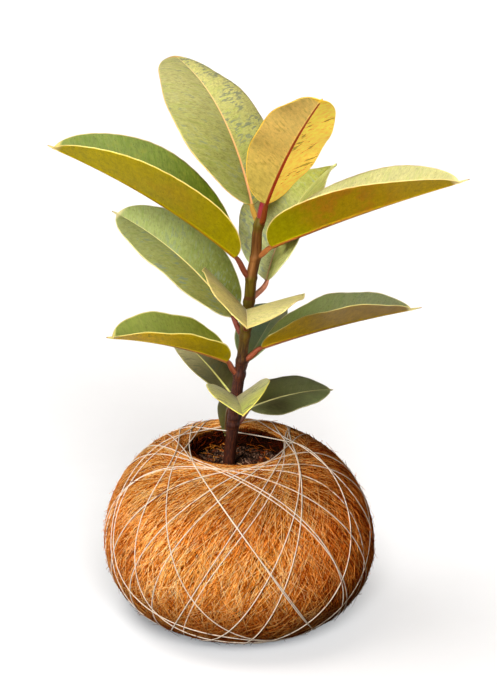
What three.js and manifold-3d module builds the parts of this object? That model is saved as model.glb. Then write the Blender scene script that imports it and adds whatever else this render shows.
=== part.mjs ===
// Kokedama house plant: a squat ball of coconut fibre wound with pale string,
// with soil in its open top and a young variegated rubber plant growing in it.
// Millimetres, +Z up. The origin is on the flat spot that the ball rests on,
// under the middle of its belt, -Y is the front and +X the right.
import * as THREE from "three";
import Module from "manifold-3d";

const wasm = await Module();
wasm.setup();

// Ball of coconut fibre
const BALL_RADIUS = 90;
const BELT_HEIGHT = 50.6;
const CREST_HEIGHT = 120;
const CREST_RADIUS = 39.4;
const RIM_RADIUS = 32.4;
const RIM_HEIGHT = 117.8;
const FOOT_RADIUS = 20;
const BALL_LEAN = -0.03;
const LEAN_HEIGHT = 55;
const BALL_COLUMNS = 48;
const WALL_SCALE = 0.86;
const FIBRE_RELIEF = 0.6;

// Soil inside the ball
const SOIL_HEIGHT = 106;
const SOIL_SCALE = 0.854;
const CRUMB_RELIEF = 1.2;

// String wound round the ball
const STRING_RADIUS = 0.7;
const STRING_SIDES = 3;
const STRING_SAG = 0.5;
const SECTION_STEPS = 180;
const SEAT_GAP = 0.3;

// Stem
const STEM_FOOT_HEIGHT = 84;
const STEM_TOP_HEIGHT = 277;
const STEM_SIDES = 10;
const NODE_SWELL = 0.5;

// Leaves
const BLADE_THICKNESS = 0.9;
const STALK_RADIUS = 1.3;
const STALK_FOOT_RADIUS = 1.6;
const RIB_DEPTH = 1.2;
const MIDRIB_STEPS = 40;

const turn = THREE.MathUtils.degToRad;
const vec = (x, y, z) => new THREE.Vector3(x, y, z);

// Where the stem's middle line passes, as height and place along X
const STEM_LINE = [
  [84, -9.6], [107, -6.7], [132, -4.2], [150, -2.2], [166, -0.2], [184, 2.4],
  [200, 4.3], [218, 6.4], [240, 8.9], [252, 10.6], [265, 12.2], [277, 14],
];

// Stem radius at a few heights
const STEM_GIRTH = [[84, 4], [107, 4], [150, 3.9], [190, 3.3], [277, 2.8]];

// Each leaf, from the top down. Its stalk leaves the stem at the height node,
// turned by facing from +X, with a length and a rise. Its blade has a rise at
// root and tip, a sweep sideways along its length, a length and a half width.
// fold is how far the right and left half rise from the midrib, curl how far
// each bends over towards its margin, tilt and twist how the blade rolls.
// shape gives the outline (power, root and shift towards the root), wave the
// height and number of waves in the margin, drip the length of the drip point.
const LEAVES = [
  {
    name: "leaf_top_left", node: 273, facing: 111, stalk: 13, stalkRise: 40,
    rise: [56, 8], sweep: 10, length: 142, half: 36.5, fold: [5, 10], curl: -30,
    tilt: -13, twist: 10, shape: [1.8, 0.65, 0.1], wave: [0.8, 3], drip: 3,
    colour: 0xb9b464,
  },
  {
    name: "leaf_top_yellow", node: 275, facing: -61, stalk: 14, stalkRise: 75,
    rise: [59, 42], sweep: -2, length: 108, half: 24.5, fold: [27, 22], curl: -14,
    tilt: 11, twist: 10, shape: [1.8, 0.5, 0.1], wave: [2, 4], drip: 2,
    colour: 0xd8b44c,
  },
  {
    name: "leaf_upper_right", node: 252, facing: -24, stalk: 10, stalkRise: 45,
    rise: [28, 21], sweep: 6, length: 135, half: 32.5, fold: [44, 43], curl: -4,
    tilt: 6, twist: -9, shape: [2.2, 0.6, 0.4], wave: [0.6, 3], drip: 7,
    colour: 0xb8a244,
  },
  {
    name: "leaf_upper_left", node: 238, facing: 195, stalk: 15, stalkRise: 65,
    rise: [43, 25], sweep: -12, length: 139, half: 39.5, fold: [40, 39], curl: 2,
    tilt: 4, twist: -6, shape: [2, 0.65, 0.15], wave: [0.6, 3], drip: 4,
    colour: 0x94942a,
  },
  {
    name: "leaf_upper_back", node: 222, facing: 54, stalk: 17, stalkRise: 25,
    rise: [68, 7], sweep: 0, length: 103, half: 37.5, fold: [32, 19], curl: -12,
    tilt: 7, twist: 8, shape: [1.6, 0.75, 0.3], wave: [1, 3], drip: 2,
    colour: 0xa9b160,
  },
  {
    name: "leaf_mid_front", node: 203, facing: -90, stalk: 14, stalkRise: 45,
    rise: [37, -3], sweep: 1, length: 100, half: 37.5, fold: [35, 29], curl: -6,
    tilt: 15, twist: -6, shape: [2.2, 0.55, -0.05], wave: [1.2, 3], drip: 1.5,
    colour: 0xe0d296,
  },
  {
    name: "leaf_mid_left", node: 198, facing: 147, stalk: 11, stalkRise: 65,
    rise: [47, 22], sweep: 13, length: 104, half: 27.5, fold: [22, 20], curl: -16,
    tilt: 6, twist: 16, shape: [2.4, 0.6, 0.05], wave: [0.6, 3], drip: 4,
    colour: 0x8a9154,
  },
  {
    name: "leaf_mid_right", node: 181, facing: -10, stalk: 12, stalkRise: 45,
    rise: [23, 11], sweep: 9, length: 101, half: 29.5, fold: [36, 34], curl: -4,
    tilt: 3, twist: 5, shape: [1.8, 0.65, 0.1], wave: [0.6, 3], drip: 7,
    colour: 0x7c7438,
  },
  {
    name: "leaf_low_left", node: 172, facing: 202, stalk: 9, stalkRise: 65,
    rise: [28, 10], sweep: -1, length: 83, half: 21, fold: [46, 45], curl: 8,
    tilt: 1, twist: 17, shape: [2.4, 0.5, 0.2], wave: [0.6, 3], drip: 4,
    colour: 0x8f8a3a,
  },
  {
    name: "leaf_low_back_right", node: 170, facing: 64, stalk: 7, stalkRise: 40,
    rise: [22, 25], sweep: 2, length: 56, half: 18.5, fold: [36, 37], curl: -2,
    tilt: -3, twist: 5, shape: [2.4, 0.55, -0.05], wave: [0.4, 2], drip: 1.5,
    colour: 0x5a6a56,
  },
  {
    name: "leaf_low_back_left", node: 150, facing: 117, stalk: 4, stalkRise: 55,
    rise: [17, 11], sweep: 7, length: 76, half: 14, fold: [31, 25], curl: -10,
    tilt: 14, twist: 2, shape: [2.2, 0.6, 0], wave: [0.4, 2], drip: 2,
    colour: 0x625c3e,
  },
  {
    name: "leaf_low_front", node: 148, facing: -86, stalk: 15, stalkRise: 50,
    rise: [15, 8], sweep: 0, length: 64, half: 25, fold: [36, 37], curl: -2,
    tilt: -1, twist: -5, shape: [2.2, 0.6, 0], wave: [0.5, 2], drip: 2,
    colour: 0x96905c,
  },
  {
    name: "leaf_lowest_back", node: 141, facing: 107, stalk: 5, stalkRise: 55,
    rise: [-43, -72], sweep: -12, length: 35, half: 9.5, fold: [40, 44], curl: 4,
    tilt: -9, twist: -10, shape: [2.4, 0.55, 0.05], wave: [0.3, 2], drip: 1.5,
    colour: 0x55582e,
  },
  {
    name: "leaf_low_right", node: 136, facing: 16, stalk: 10, stalkRise: 55,
    rise: [19, -2], sweep: -5, length: 56, half: 24, fold: [14, 17], curl: -22,
    tilt: -10, twist: 11, shape: [2.2, 0.65, 0.05], wave: [0.5, 2], drip: 2,
    colour: 0x494a2c,
  },
];

// Where along a blade its sections stand, 0 at the root and 1 at the tip
const LONG_STATIONS = [0, 0.015, 0.05, 0.12, 0.22, 0.34, 0.46, 0.58, 0.7, 0.81, 0.9, 0.96, 0.99];
const SHORT_STATIONS = [0, 0.03, 0.12, 0.28, 0.46, 0.64, 0.8, 0.92, 0.98];
const LONG_BLADE = 90;

// Each loop of string as the turn and tilt of the line square to its plane,
// which passes through the middle of the ball
const LOOPS = [
  [50, 29], [161, 30], [186.5, 32.5], [128, 28.5], [19, 30.5], [197, 27], [68.5, 29.5],
  [107.5, 28.5], [141, 27.5], [338, 27], [228, 33], [266, 29], [303, 30],
];

// Value at x of a line given by [x, value] points
function along(points, x) {
  let i = 1;
  while (i < points.length - 1 && points[i][0] < x) {
    i += 1;
  }
  const [x0, y0] = points[i - 1];
  const [x1, y1] = points[i];
  return y0 + (y1 - y0) * (x - x0) / (x1 - x0);
}

// Closed solids from rings of points

function signedVolume(points, faces) {
  const cross = new THREE.Vector3();
  return faces.reduce((sum, [a, b, c]) => {
    cross.crossVectors(points[b], points[c]);
    return sum + points[a].dot(cross) / 6;
  }, 0);
}

function geometryFrom(points, faces) {
  const outward = signedVolume(points, faces) > 0;
  const index = faces.flatMap(([a, b, c]) => (outward ? [a, b, c] : [a, c, b]));
  const geometry = new THREE.BufferGeometry().setFromPoints(points);
  geometry.setIndex(index);
  geometry.computeVertexNormals();
  return geometry;
}

function joinRings(faces, first, second, count) {
  for (let j = 0; j < count; j += 1) {
    const k = (j + 1) % count;
    faces.push([first + j, first + k, second + k], [first + j, second + k, second + j]);
  }
}

// Rings in a row, closed by a fan to a point at each end
function ringSolid(rings, startPoint, endPoint) {
  const count = rings[0].length;
  const points = rings.flat();
  const faces = [];
  for (let i = 0; i < rings.length - 1; i += 1) {
    joinRings(faces, i * count, (i + 1) * count, count);
  }
  const last = (rings.length - 1) * count;
  const start = points.push(startPoint) - 1;
  const end = points.push(endPoint) - 1;
  for (let j = 0; j < count; j += 1) {
    const k = (j + 1) % count;
    faces.push([start, k, j], [end, last + j, last + k]);
  }
  return geometryFrom(points, faces);
}

// Rings whose last one joins the first
function loopSolid(rings) {
  const count = rings[0].length;
  const faces = [];
  rings.forEach((ring, i) => {
    joinRings(faces, i * count, ((i + 1) % rings.length) * count, count);
  });
  return geometryFrom(rings.flat(), faces);
}

function ringMiddle(ring) {
  return ring.reduce((sum, p) => sum.add(p), vec(0, 0, 0)).divideScalar(ring.length);
}

// Joins and cuts

function toManifold(geometry) {
  return new wasm.Manifold(new wasm.Mesh({
    numProp: 3,
    vertProperties: new Float32Array(geometry.attributes.position.array),
    triVerts: new Uint32Array(geometry.index.array),
  }));
}

function fromManifold(solid) {
  const mesh = solid.getMesh();
  const geometry = new THREE.BufferGeometry();
  geometry.setAttribute("position", new THREE.BufferAttribute(mesh.vertProperties, 3));
  geometry.setIndex(new THREE.BufferAttribute(mesh.triVerts, 1));
  geometry.computeVertexNormals();
  return geometry;
}

function material(colour, roughness) {
  return new THREE.MeshStandardMaterial({ color: colour, roughness, metalness: 0 });
}

function named(name, geometry, surface) {
  const mesh = new THREE.Mesh(geometry, surface);
  mesh.name = name;
  return mesh;
}

// Outline of the ball from its foot to its crest, as [radius, height]

function lowerOutline() {
  const pressed = [[FOOT_RADIUS, 0], [22.5, 2.3], [46, 2.9], [56, 3.6]];
  const lowEnd = Math.sin(turn(68.8));
  const curve = [57, 47, 37, 28, 19, 10, 0].map((angle) => [
    BALL_RADIUS * Math.cos(turn(angle)) ** 0.62,
    BELT_HEIGHT * (1 - Math.sin(turn(angle)) / lowEnd),
  ]);
  return [...pressed, ...curve];
}

function upperOutline() {
  const steps = 10;
  const points = [];
  for (let i = 1; i <= steps; i += 1) {
    const angle = (Math.PI / 2) * (i / steps);
    points.push([
      CREST_RADIUS + (BALL_RADIUS - CREST_RADIUS) * Math.max(0, Math.cos(angle)) ** 1.25,
      BELT_HEIGHT + (CREST_HEIGHT - BELT_HEIGHT) * Math.sin(angle) ** 1.02,
    ]);
  }
  return points;
}

const OUTLINE = [...lowerOutline(), ...upperOutline()];

// The outline drawn in towards the middle of the ball, with fewer points
function shrunk(scale) {
  return OUTLINE.filter((point, i) => i > 2 && i % 2 === 0)
    .map(([r, z]) => [r * scale, BELT_HEIGHT + (z - BELT_HEIGHT) * scale]);
}

// How far the ball has leaned along X at a height
function leanAt(height) {
  return BALL_LEAN * (height - LEAN_HEIGHT);
}

// Wound fibres, larger than life: slanting ridges that cross each other
function fibreRelief(angle, height) {
  const band = height / 26;
  const rising = Math.abs(Math.sin(7 * angle + 2.2 * band));
  const falling = Math.abs(Math.sin(5 * angle - 2.9 * band + 1));
  return FIBRE_RELIEF * (rising + falling - 1);
}

function ballRing(radius, height, relief) {
  const ring = [];
  for (let j = 0; j < BALL_COLUMNS; j += 1) {
    const angle = (2 * Math.PI * j) / BALL_COLUMNS;
    const r = radius + relief * fibreRelief(angle, height);
    ring.push(vec(r * Math.cos(angle) + leanAt(height), r * Math.sin(angle), height));
  }
  return ring;
}

function coirWrap() {
  const rings = OUTLINE.map(([r, z]) => ballRing(r, z, z > 4 ? 1 : 0));
  rings.push(ballRing(35.2, 119.4, 0.4), ballRing(RIM_RADIUS, RIM_HEIGHT, 0));
  rings.push(ballRing(31.9, 111.5, 0));
  const cavity = shrunk(WALL_SCALE).reverse();
  cavity.forEach(([r, z]) => rings.push(ballRing(r, z, 0)));
  const floor = cavity[cavity.length - 1][1];
  return ringSolid(rings, vec(leanAt(0), 0, 0), vec(leanAt(floor), 0, floor));
}

// Loose crumbs of soil as a lumpy top
function crumbs(x, y) {
  const coarse = Math.sin(x / 2.9 + 1.3) * Math.cos(y / 3.4);
  const fine = Math.sin(x / 1.4 + y / 2.1);
  return CRUMB_RELIEF * (0.7 * coarse + 0.3 * fine);
}

function soilTopRing(radius) {
  return ballRing(radius, SOIL_HEIGHT, 0).map((p) => vec(p.x, p.y, p.z + crumbs(p.x, p.y)));
}

function soilBall() {
  const under = shrunk(SOIL_SCALE).filter(([, z]) => z < SOIL_HEIGHT - 2);
  const rings = under.map(([r, z]) => ballRing(r, z, 0));
  [44, 31, 24, 17, 11].forEach((radius) => rings.push(soilTopRing(radius)));
  const low = under[0][1];
  const foot = vec(leanAt(low), 0, low);
  const top = vec(leanAt(SOIL_HEIGHT), 0, SOIL_HEIGHT);
  const whole = toManifold(ringSolid(rings, foot, top));
  const hole = toManifold(stemTube([STEM_FOOT_HEIGHT - 0.4, 100, SOIL_HEIGHT + 8], () => 0.35));
  return fromManifold(whole.subtract(hole));
}

// Stem

function stemPoint(height) {
  return vec(along(STEM_LINE, height), 0, height);
}

function nodeSwell(height) {
  return LEAVES.reduce((sum, leaf) => {
    const away = (height - leaf.node + 2) / 1.8;
    return sum + NODE_SWELL * Math.exp(-away * away);
  }, 0);
}

function stemRing(height, spare) {
  const radius = along(STEM_GIRTH, height) + spare;
  const middle = stemPoint(height);
  const ring = [];
  for (let j = 0; j < STEM_SIDES; j += 1) {
    const angle = (2 * Math.PI * j) / STEM_SIDES;
    ring.push(vec(radius * Math.cos(angle), radius * Math.sin(angle), 0).add(middle));
  }
  return ring;
}

// The stem between some heights, made wider by what spareAt gives there
function stemTube(heights, spareAt) {
  const rings = heights.map((z) => stemRing(z, spareAt(z)));
  return ringSolid(rings, ringMiddle(rings[0]), ringMiddle(rings[rings.length - 1]));
}

function stem() {
  const nodes = LEAVES.flatMap((leaf) => [leaf.node - 5, leaf.node - 2, leaf.node + 1])
    .filter((z) => z < STEM_TOP_HEIGHT - 1.4);
  const heights = [STEM_FOOT_HEIGHT, 100, 112, 122, STEM_TOP_HEIGHT, ...nodes]
    .sort((a, b) => a - b)
    .filter((z, i, all) => i === 0 || z - all[i - 1] > 1.4);
  return stemTube(heights, (z) => (z > 125 ? nodeSwell(z) : 0));
}

// Rolled leaf sheath that stands on the tip of the stem
function tipSheath() {
  const foot = stemPoint(STEM_TOP_HEIGHT);
  const course = [[0.3, 2.3], [4, 2.5], [9, 2], [14, 1.3], [18, 0.5]];
  const rings = course.map(([rise, radius]) => {
    const ring = [];
    for (let j = 0; j < 8; j += 1) {
      const angle = (2 * Math.PI * j) / 8;
      const lean = 0.16 * rise;
      ring.push(vec(
        foot.x + lean + radius * Math.cos(angle),
        foot.y + radius * Math.sin(angle),
        foot.z + rise,
      ));
    }
    return ring;
  });
  return ringSolid(rings, ringMiddle(rings[0]), ringMiddle(rings[rings.length - 1]));
}

// Leaves

// Direction, right hand side and upper face of a blade at u along its length
function bladeFrame(leaf, u) {
  const heading = turn(leaf.facing + leaf.sweep * u);
  const rise = turn(leaf.rise[0] + (leaf.rise[1] - leaf.rise[0]) * u);
  const ahead = vec(
    Math.cos(rise) * Math.cos(heading),
    Math.cos(rise) * Math.sin(heading),
    Math.sin(rise),
  );
  const level = vec(Math.sin(heading), -Math.cos(heading), 0);
  const above = new THREE.Vector3().crossVectors(level, ahead);
  const tilt = turn(leaf.tilt + leaf.twist * u);
  const side = level.clone().multiplyScalar(Math.cos(tilt))
    .addScaledVector(above, Math.sin(tilt));
  const up = above.clone().multiplyScalar(Math.cos(tilt))
    .addScaledVector(level, -Math.sin(tilt));
  return { ahead, side, up };
}

function stalkDirection(leaf) {
  const heading = turn(leaf.facing);
  const rise = turn(leaf.stalkRise);
  return vec(
    Math.cos(rise) * Math.cos(heading),
    Math.cos(rise) * Math.sin(heading),
    Math.sin(rise),
  );
}

// Foot of the stalk, just off the surface of the stem
function stalkFoot(leaf) {
  const clear = STALK_FOOT_RADIUS * Math.sin(turn(leaf.stalkRise)) + SEAT_GAP;
  const out = along(STEM_GIRTH, leaf.node) + clear;
  const heading = turn(leaf.facing);
  return stemPoint(leaf.node).add(vec(out * Math.cos(heading), out * Math.sin(heading), 0));
}

function midribLine(leaf) {
  const points = [stalkFoot(leaf).addScaledVector(stalkDirection(leaf), leaf.stalk)];
  const step = leaf.length / MIDRIB_STEPS;
  for (let i = 0; i < MIDRIB_STEPS; i += 1) {
    const here = bladeFrame(leaf, i / MIDRIB_STEPS).ahead;
    const next = bladeFrame(leaf, (i + 1) / MIDRIB_STEPS).ahead;
    const move = here.add(next).multiplyScalar(step / 2);
    points.push(points[i].clone().add(move));
  }
  return points;
}

function midribPoint(line, u) {
  const place = Math.min(u, 0.99999) * MIDRIB_STEPS;
  const i = Math.floor(place);
  return line[i].clone().lerp(line[i + 1], place - i);
}

function halfWidth(leaf, u) {
  const [power, root, skew] = leaf.shape;
  const moved = u + skew * u * (1 - u);
  const full = Math.max(0, 1 - Math.abs(2 * moved - 1) ** power) ** root;
  return Math.max(1, leaf.half * full);
}

// How far out and up a half blade has come at v, from the midrib to the margin
function across(fold, curl, v) {
  const start = turn(fold);
  const bend = turn(curl) || 1e-6;
  const end = start + bend * v;
  return {
    out: (Math.sin(end) - Math.sin(start)) / bend,
    up: (Math.cos(start) - Math.cos(end)) / bend,
    slope: end,
  };
}

function waveLift(leaf, u, v, sign) {
  const [height, count] = leaf.wave;
  const fade = Math.min(1, 8 * Math.min(u, 1 - u));
  return height * fade * v * v * Math.sin(2 * Math.PI * count * u + sign);
}

// One section of a blade: its upper points from left to right, then its lower
function bladeSection(leaf, middle, frame, u, width) {
  const rib = Math.min(1.5 * (1 - 0.6 * u), 0.35 * width) / width;
  const columns = [-1, -0.55, -rib, 0, rib, 0.55, 1];
  const upper = [];
  const lower = [];
  columns.forEach((column) => {
    const sign = Math.sign(column) || 1;
    const v = Math.abs(column);
    const fold = sign > 0 ? leaf.fold[0] : leaf.fold[1];
    const { out, up, slope } = across(fold, leaf.curl, v);
    const lift = up * width + waveLift(leaf, u, v, sign);
    const point = middle.clone()
      .addScaledVector(frame.side, sign * out * width)
      .addScaledVector(frame.up, lift);
    const lean = column === 0 ? 0 : slope;
    const face = frame.up.clone().multiplyScalar(Math.cos(lean))
      .addScaledVector(frame.side, -sign * Math.sin(lean));
    const ribDrop = column === 0 ? RIB_DEPTH * (1 - 0.7 * u) : 0;
    upper.push(point.clone().addScaledVector(face, BLADE_THICKNESS / 2));
    lower.push(point.clone().addScaledVector(face, -BLADE_THICKNESS / 2 - ribDrop));
  });
  return { upper, lower };
}

// One round section of a stalk with the same number of points
function stalkSection(middle, ahead, side, radius) {
  const across0 = side.clone().addScaledVector(ahead, -side.dot(ahead)).normalize();
  const up0 = new THREE.Vector3().crossVectors(across0, ahead);
  const upper = [];
  const lower = [];
  for (let k = 0; k < 7; k += 1) {
    const angle = Math.PI - ((k + 0.5) * Math.PI) / 7;
    const out = middle.clone().addScaledVector(across0, radius * Math.cos(angle));
    upper.push(out.clone().addScaledVector(up0, radius * Math.sin(angle)));
    lower.push(out.clone().addScaledVector(up0, -radius * Math.sin(angle)));
  }
  return { upper, lower };
}

// Stalk from the stem to the root of the blade, on a smooth curve
function stalkSections(leaf, line) {
  const foot = stalkFoot(leaf);
  const start = stalkDirection(leaf).multiplyScalar(leaf.stalk);
  const { ahead, side } = bladeFrame(leaf, 0);
  const end = ahead.clone().multiplyScalar(leaf.stalk);
  const curve = new THREE.CubicBezierCurve3(
    foot,
    foot.clone().addScaledVector(start, 1 / 3),
    line[0].clone().addScaledVector(end, -1 / 3),
    line[0],
  );
  return [0, 0.4, 0.75, 1].map((t) => {
    const radius = STALK_FOOT_RADIUS + (STALK_RADIUS - STALK_FOOT_RADIUS) * t;
    return stalkSection(curve.getPoint(t), curve.getTangent(t), side, radius);
  });
}

function leafSections(leaf) {
  const line = midribLine(leaf);
  const sections = stalkSections(leaf, line);
  const stations = leaf.length > LONG_BLADE ? LONG_STATIONS : SHORT_STATIONS;
  stations.slice(1).forEach((u) => {
    const middle = midribPoint(line, u);
    sections.push(bladeSection(leaf, middle, bladeFrame(leaf, u), u, halfWidth(leaf, u)));
  });
  const frame = bladeFrame(leaf, 1);
  [[0, 1.2], [1, 0.6]].forEach(([part, width]) => {
    const middle = midribPoint(line, 1).addScaledVector(frame.ahead, part * leaf.drip);
    sections.push(bladeSection(leaf, middle, frame, 1, width));
  });
  return sections;
}

// Skin over the sections, split into triangles alike on both faces
function leafGeometry(leaf) {
  const sections = leafSections(leaf);
  const count = sections[0].upper.length;
  const points = sections.flatMap(({ upper, lower }) => [...upper, ...lower]);
  const top = (i, j) => i * 2 * count + j;
  const under = (i, j) => top(i, j) + count;
  const faces = [];
  for (let i = 0; i < sections.length - 1; i += 1) {
    for (let j = 0; j < count - 1; j += 1) {
      faces.push([top(i, j), top(i, j + 1), top(i + 1, j + 1)]);
      faces.push([top(i, j), top(i + 1, j + 1), top(i + 1, j)]);
      faces.push([under(i, j), under(i + 1, j + 1), under(i, j + 1)]);
      faces.push([under(i, j), under(i + 1, j), under(i + 1, j + 1)]);
    }
    [[0, 1], [count - 1, -1]].forEach(([j, hand]) => {
      const [a, b, c, d] = [top(i, j), under(i, j), under(i + 1, j), top(i + 1, j)];
      const sides = hand > 0 ? [[a, d, c], [a, c, b]] : [[a, c, d], [a, b, c]];
      faces.push(...sides);
    });
  }
  const last = sections.length - 1;
  for (let j = 0; j < count - 1; j += 1) {
    faces.push([top(0, j), under(0, j), top(0, j + 1)]);
    faces.push([top(0, j + 1), under(0, j), under(0, j + 1)]);
    faces.push([top(last, j), top(last, j + 1), under(last, j)]);
    faces.push([top(last, j + 1), under(last, j + 1), under(last, j)]);
  }
  return geometryFrom(points, faces);
}

// String

// Outline that the string lies on: the ball, with its opening bridged over
const BRIDGED = [...OUTLINE, [0, CREST_HEIGHT]];

// Distance from the middle of the ball to its surface at an angle above level
function reach(rise) {
  const c = Math.cos(rise);
  const s = Math.sin(rise);
  for (let i = 1; i < BRIDGED.length; i += 1) {
    const [r0, h0] = BRIDGED[i - 1];
    const [r1, h1] = BRIDGED[i];
    const a = r0 * s - (h0 - BELT_HEIGHT) * c;
    const b = r1 * s - (h1 - BELT_HEIGHT) * c;
    if (a * b <= 0 && a !== b) {
      const t = a / (a - b);
      const r = r0 + (r1 - r0) * t;
      const h = h0 + (h1 - h0) * t - BELT_HEIGHT;
      return Math.hypot(r, h);
    }
  }
  return BELT_HEIGHT;
}

function loopDirection(heading, tilt, t) {
  const across1 = vec(-Math.sin(turn(heading)), Math.cos(turn(heading)), 0);
  const square = vec(
    Math.cos(turn(tilt)) * Math.cos(turn(heading)),
    Math.cos(turn(tilt)) * Math.sin(turn(heading)),
    Math.sin(turn(tilt)),
  );
  const across2 = new THREE.Vector3().crossVectors(square, across1);
  return across1.multiplyScalar(Math.cos(t)).addScaledVector(across2, Math.sin(t));
}

// How far b lies outside the straight line from a to c
function standsOut(a, b, c) {
  const [x, y] = [c[0] - a[0], c[1] - a[1]];
  return (x * (a[1] - b[1]) - y * (a[0] - b[0])) / Math.hypot(x, y);
}

// One side of the tight outline round some points that are sorted by place
function tightSide(points) {
  const kept = [];
  points.forEach((point) => {
    while (kept.length > 1 && standsOut(kept[kept.length - 2], kept[kept.length - 1], point) <= 0) {
      kept.pop();
    }
    kept.push(point);
  });
  return kept.slice(0, -1);
}

// The ball's outline in the plane of a loop, with its hollows bridged over
function tautSection(heading, tilt) {
  const points = [];
  for (let i = 0; i < SECTION_STEPS; i += 1) {
    const t = (2 * Math.PI * i) / SECTION_STEPS;
    const distance = reach(Math.asin(loopDirection(heading, tilt, t).z));
    points.push([distance * Math.cos(t), distance * Math.sin(t)]);
  }
  points.sort((a, b) => a[0] - b[0] || a[1] - b[1]);
  return [...tightSide(points), ...tightSide([...points].reverse())];
}

// The same with only as many corners as keep its straight runs close
function thinned(points) {
  const corners = [];
  let i = 0;
  while (i < points.length) {
    corners.push(points[i]);
    let j = i + 2;
    const close = (end) => points.slice(i + 1, end)
      .every((point) => standsOut(points[i], point, points[end % points.length]) < STRING_SAG);
    while (j <= points.length && close(j)) {
      j += 1;
    }
    i = j - 1;
  }
  return corners;
}

// Corners of a loop of string, its seat outside the ball
function loopPoints(heading, tilt) {
  const corners = thinned(tautSection(heading, tilt));
  const seat = FIBRE_RELIEF + SEAT_GAP + STRING_RADIUS / 2 + STRING_SAG;
  return corners.map(([x, y], i) => {
    const before = corners[(i + corners.length - 1) % corners.length];
    const after = corners[(i + 1) % corners.length];
    const run = Math.hypot(after[0] - before[0], after[1] - before[1]);
    const u = x + (seat * (after[1] - before[1])) / run;
    const v = y - (seat * (after[0] - before[0])) / run;
    const point = loopDirection(heading, tilt, Math.atan2(v, u));
    point.multiplyScalar(Math.hypot(u, v));
    point.z += BELT_HEIGHT;
    point.x += leanAt(point.z);
    return point;
  });
}

function loopTube(heading, tilt) {
  const points = loopPoints(heading, tilt);
  const square = vec(
    Math.cos(turn(tilt)) * Math.cos(turn(heading)),
    Math.cos(turn(tilt)) * Math.sin(turn(heading)),
    Math.sin(turn(tilt)),
  );
  const rings = points.map((point, i) => {
    const before = points[(i + points.length - 1) % points.length];
    const after = points[(i + 1) % points.length];
    const ahead = after.clone().sub(before).normalize();
    const out = new THREE.Vector3().crossVectors(ahead, square).normalize();
    const ring = [];
    for (let j = 0; j < STRING_SIDES; j += 1) {
      const angle = (2 * Math.PI * j) / STRING_SIDES;
      ring.push(point.clone()
        .addScaledVector(out, STRING_RADIUS * Math.cos(angle))
        .addScaledVector(square, STRING_RADIUS * Math.sin(angle)));
    }
    return ring;
  });
  return loopSolid(rings);
}

function stringNet() {
  const loops = LOOPS.map(([heading, tilt]) => toManifold(loopTube(heading, tilt)));
  const joined = loops.reduce((sum, loop) => sum.add(loop));
  return fromManifold(joined.asOriginal().simplify(0.03));
}

// The whole plant

const plant = new THREE.Group();
plant.name = "kokedama_rubber_plant";
plant.add(named("coir_wrap", coirWrap(), material(0xc9823f, 0.95)));
plant.add(named("soil", soilBall(), material(0x4a2f1e, 1)));
plant.add(named("string", stringNet(), material(0xe6d2ba, 0.85)));
plant.add(named("stem", stem(), material(0x5a3a14, 0.7)));
plant.add(named("tip_sheath", tipSheath(), material(0xb2404c, 0.5)));
LEAVES.forEach((leaf) => {
  plant.add(named(leaf.name, leafGeometry(leaf), material(leaf.colour, 0.45)));
});

export default plant;
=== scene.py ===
import math

import bpy
import numpy as np
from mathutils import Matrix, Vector, noise


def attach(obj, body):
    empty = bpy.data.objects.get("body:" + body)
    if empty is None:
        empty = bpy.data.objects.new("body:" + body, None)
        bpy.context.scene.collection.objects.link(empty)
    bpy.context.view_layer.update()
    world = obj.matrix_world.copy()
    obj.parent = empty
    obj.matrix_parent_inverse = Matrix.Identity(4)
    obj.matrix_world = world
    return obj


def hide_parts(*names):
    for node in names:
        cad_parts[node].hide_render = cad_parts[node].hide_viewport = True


# Looks of the kokedama rubber plant. Lengths below are in millimetres and
# turned into metres when a mesh is made. The axes are those of the frame:
# origin on the flat spot under the ball, +Z up, -Y the front.

MM = 0.001

# Camera
LOOK_AT = (6.3, 0, 192)
CAMERA_DISTANCE = 1500
CAMERA_PITCH = 20.5
FOCAL_LENGTH = 120.88

# Light
SKY_COLOUR = (1, 0.7, 0.43, 1)
SKY_ABOVE = 0.17
SKY_BELOW = 0.08
KEY_PLACE = (-0.9, -1.6, 1.15)
KEY_SOFTNESS = 30
KEY_STRENGTH = 4.55
FLOOR_LIGHT_PLACE = (-0.75, 0, 1.9)
FLOOR_LIGHT_SOFTNESS = 34
FLOOR_LIGHT_STRENGTH = 1.4
FRONT_LIGHT_PLACE = (0.15, -1.6, 1.05)
FRONT_LIGHT_SOFTNESS = 40
FRONT_LIGHT_STRENGTH = 4.2
LEAF_LIGHT_PLACE = (1.3, -1.3, 0.05)
LEAF_LIGHT_SOFTNESS = 60
LEAF_LIGHT_STRENGTH = 2.8
FLOOR_GLOW = 0.14

# Ball of coconut fibre
BALL_RADIUS = 90
BELT_HEIGHT = 50.6
CREST_HEIGHT = 120
CREST_RADIUS = 39.4
RIM_RADIUS = 32.4
RIM_HEIGHT = 117.8
FOOT_RADIUS = 20
BALL_LEAN = -0.03
LEAN_HEIGHT = 55
BALL_COLUMNS = 440
WALL_SCALE = 0.86
WIND_TILT = 30
FIBRE_BATCHES = 3
FIBRES_PER_BATCH = 4500
OPENING_CLEAR = 0.888

# Soil
SOIL_HEIGHT = 106
SOIL_SCALE = 0.854
CRUMB_COUNT = 1900
RIM_FIBRES = 1100

# String
STRING_RADIUS = 0.42
STRING_STEP = 0.8

# Stem
STEM_FOOT_HEIGHT = 84
STEM_TOP_HEIGHT = 277
NODE_SWELL = 0.5

# Leaves
BLADE_THICKNESS = 0.7
STALK_RADIUS = 1.3
STALK_FOOT_RADIUS = 1.6
RIB_DEPTH = 1.2
SEAT_GAP = 0.3

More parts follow.
